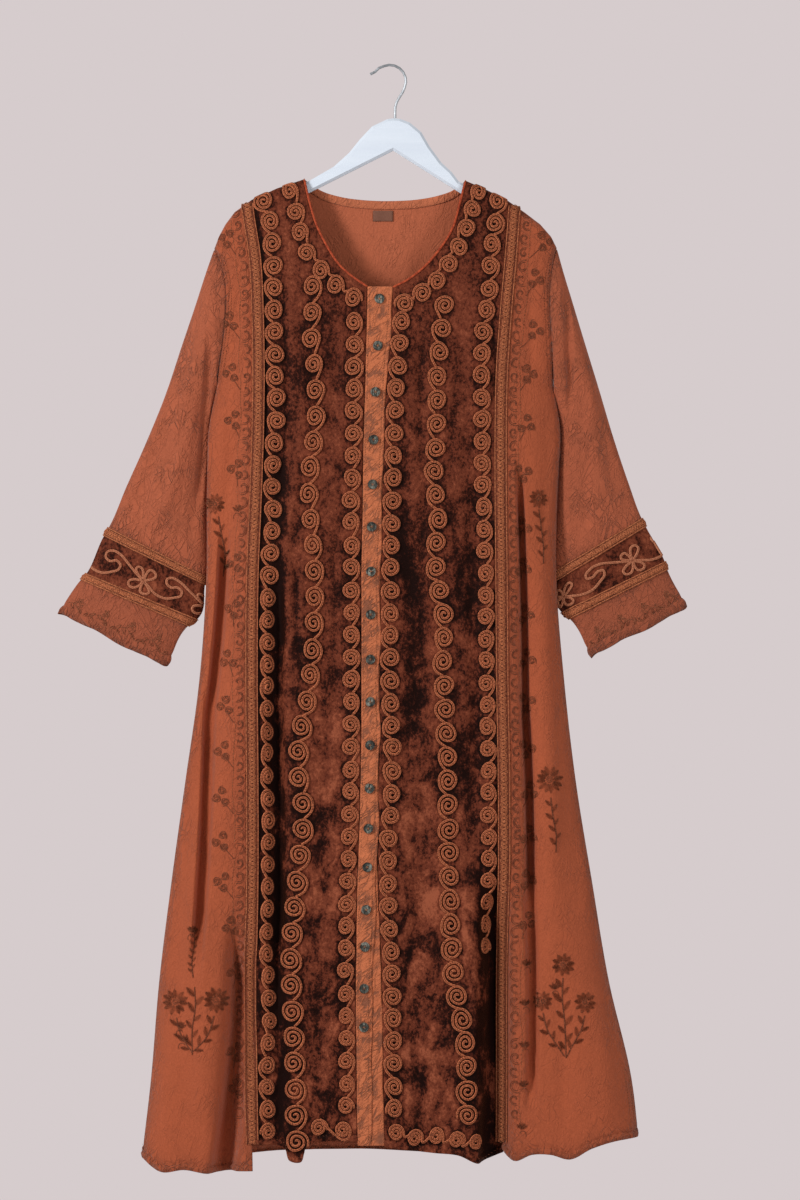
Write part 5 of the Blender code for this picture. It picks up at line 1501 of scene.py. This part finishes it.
def border(name, side):
    """The hooked border beside a braid, and the line of its vine."""
    hooks = []
    for number, drop in enumerate(np.arange(BORDER_TOP, BORDER_END - HOOK_PITCH, HOOK_PITCH)):
        middle = float(seam(name, drop)) + side * BORDER_OUT + SEWING.normal(0, 0.5)
        shape = along_path(HOOK, 1.7)
        size = SEWING.uniform(0.72, 0.98)
        shape = shape[: round(len(shape) * SEWING.uniform(0.7, 1.0))]
        turned = -1 if number % 7 in (3, 4) else 1
        for inner in (size, size * 0.7):
            hooks.append(np.stack([middle - side * shape[:, 0] * inner, drop + turned * shape[:, 1] * inner], -1))
    drops = np.arange(BORDER_TOP - 6, BORDER_END, 6.0)
    sway = 1.6 * np.sin(drops / 22.0) + 0.7 * np.sin(drops / 9.0)
    line = np.stack([seam(name, drops) + side * VINE_OUT + sway, drops], -1)
    return hooks, line[drops > shoulder_drop(line[:, 0]) + 4]


def build_embroidery():
    for side, mark, trefoils, buds, flowers, stems in (
        (LEFT, "l", TREFOILS_L, BUDS_L, FLOWERS_L, STEMS_L),
        (RIGHT, "r", TREFOILS_R, BUDS_R, FLOWERS_R, STEMS_R),
    ):
        hooks, vine = border(f"braid_{mark}", side)
        fine, dark = [], []
        for x, drop in trefoils:
            fine += trefoil(x, drop, side)
            foot = float(seam(f"braid_{mark}", drop + 20)) + side * VINE_OUT
            dark.append(along_path(((foot, drop + 22), ((x + foot) / 2, drop + 13), (x, drop + 3)), 1.6))
        for x, drop in buds:
            fine += bud(x, drop, side)
        for x, drop, radius, petals in flowers:
            fine += flower(x, drop, radius, petals)
        for shape in stems:
            fine += stem(shape)
        for flats in (fine, hooks, dark):
            for flat in flats:
                flat[:, 1] = np.maximum(flat[:, 1], shoulder_drop(flat[:, 0]) + 2.5)
        body_threads(f"embroidery_{mark}", fine, 0.3, 0.5, 4, DARK_THREAD, "rayon")
        body_threads(f"border_{mark}", hooks + dark, 0.2, 0.55, 4, HOOK_THREAD, "rayon")
        body_threads(f"vine_{mark}", stitches(vine, 4.2, 0.25), 0.25, 0.34, 3, TAN_THREAD, "rayon")


build_embroidery()


# Seams and hems stitched through the cloth

def build_stitches():
    for mark, side, rows in (("l", LEFT, HEM_SIDE_L), ("r", RIGHT, HEM_SIDE_R)):
        flats = stitches(spaced(rows, 3) - (0, 8.6), 4.6, 0.35, 1.1)
        drops = np.arange(ARMHOLE[side][0][1] + 8, ARMHOLE[side][-1][1] - 4, 3.0)
        seam_x = side_edge(side, drops)
        for inward in (3.4, 7.2):
            flats += stitches(np.stack([seam_x - side * inward, drops], -1), 3.4, 0.3)
        body_threads(f"side_front_{mark}_stitches", flats, 0.15, 0.3, 3, DARK_THREAD, "rayon")
    drops = np.arange(1308.0, 1386.0, 3.0)
    flats = []
    for inward in (4.5, 9.5):
        flats += stitches(np.stack([side_edge(RIGHT, drops) - inward, drops], -1), 3.6, 0.3)
    flats += stitches(np.array([[side_edge(RIGHT, 1305.0) - 11, 1305.0], [side_edge(RIGHT, 1305.0) - 3, 1305.0]]), 3.0, 0.2)
    body_threads("slit_stitches", flats, 0.2, 0.34, 3, TAN_THREAD, "rayon")
    for mark, rows in (("l", HEM_VELVET_L), ("r", HEM_VELVET_R)):
        body_threads(f"velvet_hem_stitches_{mark}", stitches(spaced(rows, 3) - (0, 7.4), 4.4, 0.4, 1.0),
                     0.3, 0.3, 3, DARK_THREAD, "velvet")  # fmt: skip
    body_threads("back_hem_stitches", stitches(spaced(HEM_BACK, 3) - (0, 8.6), 4.6, 0.35, 1.1),
                 0.15, 0.3, 3, DARK_THREAD, "rayon", BACK)  # fmt: skip
    drops = np.arange(FRONT_NECK_L[-1][1] + 3, PLACKET_HEM - 4, 4.0)
    wander = 0.5 * np.sin(drops * 0.045 + 0.4)
    flats = stitches(np.stack([seam("placket_l", drops) + 3.0 + wander, drops], -1), 3.2, 0.3)
    flats += stitches(np.stack([seam("placket_r", drops) - 4.6 + wander, drops], -1), 3.2, 0.3)
    body_threads("placket_stitches", flats, 1.15, 0.3, 3, TAN_THREAD, "placket")


build_stitches()


# Sleeves

SLEEVE_TUCK = 1.4


def sleeve_turns(count):
    return np.linspace(0, 2 * math.pi, count, endpoint=False)


def sleeve_tube(name, side, rows, count, material, slot, thickness, out=None):
    turn = sleeve_turns(count)[None, :]
    at = np.asarray(rows, float)[:, None]
    height = np.zeros((len(rows), count)) if out is None else out(at, turn)
    if material is CUFF:
        share = (at - rows[0]) / (rows[-1] - rows[0])
        at = at - 0.035 * share**3 * (1 + np.sin(5 * turn + side) * np.cos(2 * turn))
    points = sleeve(side, at, turn, height)
    if rows[0] == 0:
        points[0, :, 0] -= side * SLEEVE_TUCK
    girth = np.linalg.norm(np.diff(points[len(rows) // 2], axis=0, append=points[len(rows) // 2][:1]), axis=1)
    u = np.concatenate([[0], np.cumsum(girth)])
    middle = points.mean(axis=1)
    v = np.concatenate([[0], np.cumsum(np.linalg.norm(np.diff(middle, axis=0), axis=1))])
    uv = np.stack(np.broadcast_arrays(u[None, :], -v[:, None]), -1)
    ends = np.minimum(v, v[-1] - v)[:, None]
    # Darker towards both ends of each tube: dye along its seams, and painted shade along the cuff's hem.
    edge = np.exp(-ends / 7) + 0 * height
    return add_grid(name, points, uv, material, slot, thickness, wrap=True, flip=side == RIGHT, edge=edge)


def cuff_height(at, turn):
    """The cuff's hem stands out in small gathers."""
    above = (CUFF_END - at) * 36.0
    gather = 0.5 + 0.5 * np.sin(turn * 46 + 1.3 * np.sin(turn * 5))
    stitched = np.exp(-(((above - 9.5) / 1.4) ** 2))
    return 1.7 * np.exp(-(((above - 4.5) / 3.6) ** 2)) * (0.45 + 0.55 * gather) - 0.9 * stitched


def build_sleeves():
    for side, mark in ((LEFT, "l"), (RIGHT, "r")):
        rows = np.concatenate([[0, 0.03, 0.08, 0.15], np.linspace(0.25, 7.45, 74), [7.49]])
        piece = sleeve_tube(f"sleeve_{mark}_cloth", side, rows, 104, SLEEVE_RAYON, "rayon", 1.1,
                            lambda at, turn: -1.3 * np.exp(-((at / 0.05) ** 2)) + 0 * turn)  # fmt: skip
        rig.replaces(piece, f"sleeve_{mark}")
        piece = sleeve_tube(f"sleeve_velvet_{mark}_cloth", side, np.linspace(7.51, 9.49, 22), 104, VELVET, "velvet", 1.5)
        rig.replaces(piece, f"sleeve_velvet_{mark}")
        rows = np.concatenate([np.linspace(9.51, 10.7, 18), np.linspace(10.74, CUFF_END, 10)])
        piece = sleeve_tube(f"cuff_{mark}_cloth", side, rows, 130, CUFF, "cuff", 1.1, cuff_height)
        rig.replaces(piece, f"cuff_{mark}")
        for part, middle in (("upper", BAND_START), ("lower", BAND_END)):
            ground_rows = np.linspace(middle - 0.42, middle + 0.42, 6)
            ground = sleeve_tube(f"sleeve_braid_{part}_{mark}_ground", side, ground_rows, 80, BRAID_BASE, "braid",
                                 0.9, lambda at, turn: 1.2 + 0 * at * turn)  # fmt: skip
            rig.replaces(ground, f"sleeve_braid_{part}_{mark}")
            turn = np.linspace(0, 2 * math.pi, 190)
            ring = sleeve(side, np.full(turn.shape, middle), turn)
            length = np.concatenate([[0], np.cumsum(np.linalg.norm(np.diff(ring, axis=0), axis=1))])
            wave = length[-1] / round(length[-1] / 11.0)
            paths = []
            for phase in (0, 0.25, 0.5, 0.75):
                beat = 2 * math.pi * (length / wave + phase)
                across = 0.3 * (2 / math.pi) * np.arcsin(np.sin(beat))
                lift = 1.75 + 0.4 * np.cos(2 * beat)
                paths.append(on_sleeve(side, np.stack([middle + across, turn], -1), lift))
            for edge in (-1, 1):
                paths.append(on_sleeve(side, np.stack([middle + edge * 0.4 + 0 * turn, turn], -1), 1.5))
            add_threads(f"sleeve_braid_{part}_{mark}_threads", paths, 0.95, 4, BRAID, "braid")


build_sleeves()


# Scrollwork on the sleeves' velvet bands, in millimetres along and across the band
SCROLL = (
    (0, -5), (7, -9.5), (18.7, -16.5), (30.3, -17), (39.3, -11), (46.5, -4), (46.7, 3), (41.2, 5.5), (33.7, 1.5),
    (27.8, 4), (27.3, 10.5), (34.3, 15.5), (42.7, 15), (58.2, 6.5), (72, -2), (78, -5),
)  # fmt: skip
SCROLL_LENGTH = 78.0
KNOT_LOOPS = ((-7.4, 11.0, 4.4), (7.7, 12.6, 5.4), (-9.8, -9.4, 5.8), (5.2, -12.6, 5.4))
Scroll = namedtuple("Scroll", "side mark way first stretch")
SCROLLS = (Scroll(LEFT, "l", 1, -15, 1.0), Scroll(RIGHT, "r", -1, 222, 1.2))
BAND_ACROSS = 53.0
CUFF_ACROSS = 53.0


def around_sleeve(width, along, back):
    """The angle round a sleeve at a distance in from its outer edge."""
    turn = np.arccos(1 - 2 * np.clip(along / width, 0.0, 1.0))
    return 2 * math.pi - turn if back else turn


def loop_of(x, y, radius):
    """A teardrop of cord from the knot's middle round a point."""
    aim = math.atan2(y, x)
    points = [(0.0, 0.0)]
    for turn in (-115, -70, -35, 0, 35, 70, 115):
        angle = aim + math.radians(turn)
        points.append((x + radius * math.cos(angle), y + radius * math.sin(angle)))
    return points + [(0.0, 0.0)]


def build_scrolls():
    for scroll in SCROLLS:
        paths = []
        for back in (False, True):
            for number in range(3):
                start = scroll.first + scroll.way * number * SCROLL_LENGTH * scroll.stretch
                shapes = [[(start + scroll.way * scroll.stretch * a, b) for a, b in SCROLL]]
                for x, y, radius in KNOT_LOOPS:
                    shapes.append([(start + scroll.way * a, b - 5) for a, b in loop_of(x, y, radius)])
                for shape in shapes:
                    flat = along_path(shape, 1.6)
                    flat = flat[(flat[:, 0] > 0.5) & (flat[:, 0] < 137)]
                    if len(flat) > 4:
                        rows = (BAND_START + BAND_END) / 2 - flat[:, 1] / BAND_ACROSS
                        turn = around_sleeve(138.0, flat[:, 0], back)
                        paths.append(on_sleeve(scroll.side, np.stack([rows, turn], -1), 1.0))
        add_threads(f"scrollwork_{scroll.mark}", paths, CORD_RADIUS, 6, SCROLL_CORD, "velvet")


def build_cuff_vines():
    """A line of vine with leaves and small flowers sewn above each cuff's hem."""
    for side, mark in ((LEFT, "l"), (RIGHT, "r")):
        paths = []
        for back in (False, True):
            reach = np.arange(3.0, 155.0, 1.6)
            shapes = [np.stack([reach, 17 + 4.5 * np.sin(reach / 6.2)], -1)]
            for number, foot in enumerate(np.arange(8.0, 150.0, 9.7)):
                above = 17 + 4.5 * math.sin(foot / 6.2)
                lean = (0.9 if number % 2 else -0.9) + SEWING.normal(0, 0.15)
                shapes.append(leaf(foot, above, 8.5, 3.8, lean))
                shapes.append(leaf(foot + 3, above, 6.5, 3.0, -lean))
                if number % 4 == 1:
                    for petal in range(5):
                        shapes.append(leaf(foot, above + 9, 4.6, 3.0, petal * 1.257))
            for flat in shapes:
                inside = (flat[:, 0] > 1) & (flat[:, 0] < 157)
                if inside.sum() < 4:
                    continue
                flat = flat[inside]
                rows = CUFF_END - flat[:, 1] / CUFF_ACROSS
                paths.append(on_sleeve(side, np.stack([rows, around_sleeve(159.0, flat[:, 0], back)], -1), 0.25))
        add_threads(f"cuff_vine_{mark}", paths, 0.42, 3, CUFF_THREAD, "cuff")


build_cuff_vines()
build_scrolls()


# Neck trims

def build_neck_trims():
    for name, rows in (("neck_piping_l", FRONT_NECK_L), ("neck_piping_r", FRONT_NECK_R[::-1])):
        flat = spaced(rows, 2.5)
        path = on_body(flat, FRONT, 0.1)
        piece = add_threads(f"{name}_cord", [path], 1.5, 8, PIPING, "piping")
        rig.replaces(piece, name)
    line = spaced(BACK_NECK, 4)
    shares = np.array([-0.02, 0.06, 0.2, 0.4, 0.6, 0.8, 0.94, 1.0]) * 10.0
    x = np.repeat(line[:, :1], len(shares), 1)
    drop = line[:, 1:] + shares
    lift = -1.4 - 0.9 * np.sin(math.pi * np.clip(shares / 10, 0, 1)) ** 0.4
    piece = add_grid("back_neck_binding_cloth", cloth(x, drop, BACK, lift + 0 * x), np.stack([x, -drop], -1),
                     BINDING, "rayon", 0.8)  # fmt: skip
    slanted = stitches(spaced(BACK_NECK, 3) + (0, 2.6), 3.1, 0.55, 4.6)
    body_threads("back_neck_stitches", slanted, -2.5, 0.32, 3, HOOK_THREAD, "rayon", BACK)
    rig.replaces(piece, "back_neck_binding")
    xs, drops = np.meshgrid(np.linspace(-21, 5, 14), np.linspace(187, 201, 9))
    piece = add_grid("neck_label_patch", cloth(xs, drops, BACK, -2.3 - 0.4 * np.sin(xs * 0.3)), np.stack([xs, -drops], -1),
                     LABEL, "label", 0.5)  # fmt: skip
    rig.replaces(piece, "neck_label")


build_neck_trims()


# Hanger and hook

def build_hanger():
    frame["nodes"]["hanger"].data.materials.clear()
    frame["nodes"]["hanger"].data.materials.append(WOOD)
    frame["nodes"]["hook"].data.materials.clear()
    frame["nodes"]["hook"].data.materials.append(CHROME)


build_hanger()

for cad, shown in (
    ("velvet_front_l", "velvet_front_l_cloth"), ("velvet_front_r", "velvet_front_r_cloth"),
    ("side_front_l", "side_front_l_cloth"), ("side_front_r", "side_front_r_cloth"), ("back", "back_cloth"),
    ("placket_over", "placket_over_cloth"), ("placket_under", "placket_under_cloth"),
):  # fmt: skip
    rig.replaces(bpy.data.objects[shown], cad)


# The cloth as it was cut: width and length, the flat area where it isn't a rectangle, and what carries it
Cut = namedtuple("Cut", "piece width length area rests_on with_pieces")
CUTS = (
    Cut("velvet_front_l_cloth", 0.165, 1.28, 0.172, ("hanger",), ("roundels_l", "velvet_hem_stitches_l")),
    Cut("velvet_front_r_cloth", 0.185, 1.28, 0.193, ("hanger",), ("roundels_r", "velvet_hem_stitches_r")),
    Cut("side_front_l_cloth", 0.165, 1.26, 0.128, ("hanger",), ("embroidery_l", "border_l", "vine_l")),
    Cut("side_front_r_cloth", 0.19, 1.25, 0.141, ("hanger",), ("embroidery_r", "border_r", "vine_r")),
    Cut("back_cloth", 0.67, 1.28, 0.66, ("hanger",), ("back_hem_stitches",)),
    Cut("placket_over_cloth", 0.026, 1.12, None, ("placket_under_cloth",), ("placket_stitches",)),
    Cut("placket_under_cloth", 0.027, 1.11, None, ("velvet_front_r_cloth",), ()),
    Cut("back_neck_binding_cloth", 0.01, 0.22, None, ("back_cloth",), ()),
    Cut("neck_label_patch", 0.026, 0.014, None, ("back_cloth",), ()),
    Cut("braid_l_ground", 0.0155, 1.24, None, ("velvet_front_l_cloth",), ("braid_l_threads",)),
    Cut("braid_r_ground", 0.0155, 1.24, None, ("velvet_front_r_cloth",), ("braid_r_threads",)),
    Cut("sleeve_l_cloth", 0.38, 0.4, 0.068, ("side_front_l_cloth",), ()),
    Cut("sleeve_r_cloth", 0.36, 0.39, 0.057, ("side_front_r_cloth",), ()),
    Cut("sleeve_velvet_l_cloth", 0.3, 0.062, None, ("sleeve_l_cloth",), ("scrollwork_l",)),
    Cut("sleeve_velvet_r_cloth", 0.275, 0.062, None, ("sleeve_r_cloth",), ("scrollwork_r",)),
    Cut("cuff_l_cloth", 0.33, 0.062, None, ("sleeve_velvet_l_cloth",), ()),
    Cut("cuff_r_cloth", 0.3, 0.063, None, ("sleeve_velvet_r_cloth",), ()),
    Cut("sleeve_braid_upper_l_ground", 0.012, 0.285, None, ("sleeve_l_cloth",), ("sleeve_braid_upper_l_threads",)),
    Cut("sleeve_braid_upper_r_ground", 0.012, 0.26, None, ("sleeve_r_cloth",), ("sleeve_braid_upper_r_threads",)),
    Cut("sleeve_braid_lower_l_ground", 0.012, 0.29, None, ("cuff_l_cloth",), ("sleeve_braid_lower_l_threads",)),
    Cut("sleeve_braid_lower_r_ground", 0.012, 0.275, None, ("cuff_r_cloth",), ("sleeve_braid_lower_r_threads",)),
)
for cut in CUTS:
    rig.sheet(bpy.data.objects[cut.piece], flat=(cut.width, cut.length), held="hung", rests_on=cut.rests_on,
             area=cut.area, with_pieces=[bpy.data.objects[name] for name in cut.with_pieces])  # fmt: skip


# Floor, light and camera

def build_stage():
    bpy.ops.mesh.primitive_circle_add(vertices=96, radius=1.3, fill_type="NGON", location=(0, 0, -1.75))
    floor = bpy.context.object
    floor.name = "floor"
    floor.data.materials.append(plain_material("pale_floor", (0.62, 0.56, 0.565)))
    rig.stage(floor)
    world = bpy.data.worlds.new("studio")
    world.use_nodes = True
    nodes, links = world.node_tree.nodes, world.node_tree.links
    backdrop = nodes["Background"]
    backdrop.inputs["Color"].default_value = (0.672, 0.604, 0.610, 1)
    soft_light = nodes.new("ShaderNodeBackground")
    soft_light.inputs["Color"].default_value = (1.0, 0.98, 0.97, 1)
    soft_light.inputs["Strength"].default_value = 0.33
    seen = nodes.new("ShaderNodeMixShader")
    links.new(nodes.new("ShaderNodeLightPath").outputs["Is Camera Ray"], seen.inputs["Fac"])
    links.new(soft_light.outputs["Background"], seen.inputs[1])
    links.new(backdrop.outputs["Background"], seen.inputs[2])
    links.new(seen.outputs["Shader"], nodes["World Output"].inputs["Surface"])
    bpy.context.scene.world = world
    bpy.context.scene.view_settings.view_transform = "Standard"


def add_area(name, location, aim, size, power):
    light = bpy.data.lights.new(name, "AREA")
    light.shape = "RECTANGLE"
    light.size, light.size_y = size
    light.energy = power
    lamp = bpy.data.objects.new(name, light)
    lamp.location = location
    lamp.rotation_euler = (Vector(aim) - Vector(location)).to_track_quat("-Z", "Y").to_euler()
    bpy.context.scene.collection.objects.link(lamp)


def build_lights():
    middle = (0, 0, -0.75)
    add_area("key", (-2.3, -2.0, 0.3), middle, (0.5, 1.6), 79)
    add_area("fill", (2.2, -2.4, -0.2), middle, (1.2, 2.2), 34)
    add_area("back_soft", (-0.8, 2.8, 0.2), middle, (1.6, 2.2), 40)


CAMERA_AWAY = 8.0
CLOTH_NEAR = 0.022
VIEW_HEIGHT = 1.558


def build_camera():
    camera = bpy.data.cameras.new("camera")
    camera.sensor_width = 36.0
    camera.lens = 36.0 * (CAMERA_AWAY - CLOTH_NEAR) / VIEW_HEIGHT
    holder = bpy.data.objects.new("camera", camera)
    holder.location = (0.0143, -CAMERA_AWAY, -0.6949)
    holder.rotation_euler = (math.radians(90), 0, 0)
    bpy.context.scene.collection.objects.link(holder)
    bpy.context.scene.camera = holder


build_stage()
build_lights()
build_camera()

with open("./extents.json", "w") as size_file:
    boxes = {"cad": CAD_BOX, "visual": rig.bounds()}
    json.dump({key: [list(corner) for corner in box] for key, box in boxes.items()}, size_file)
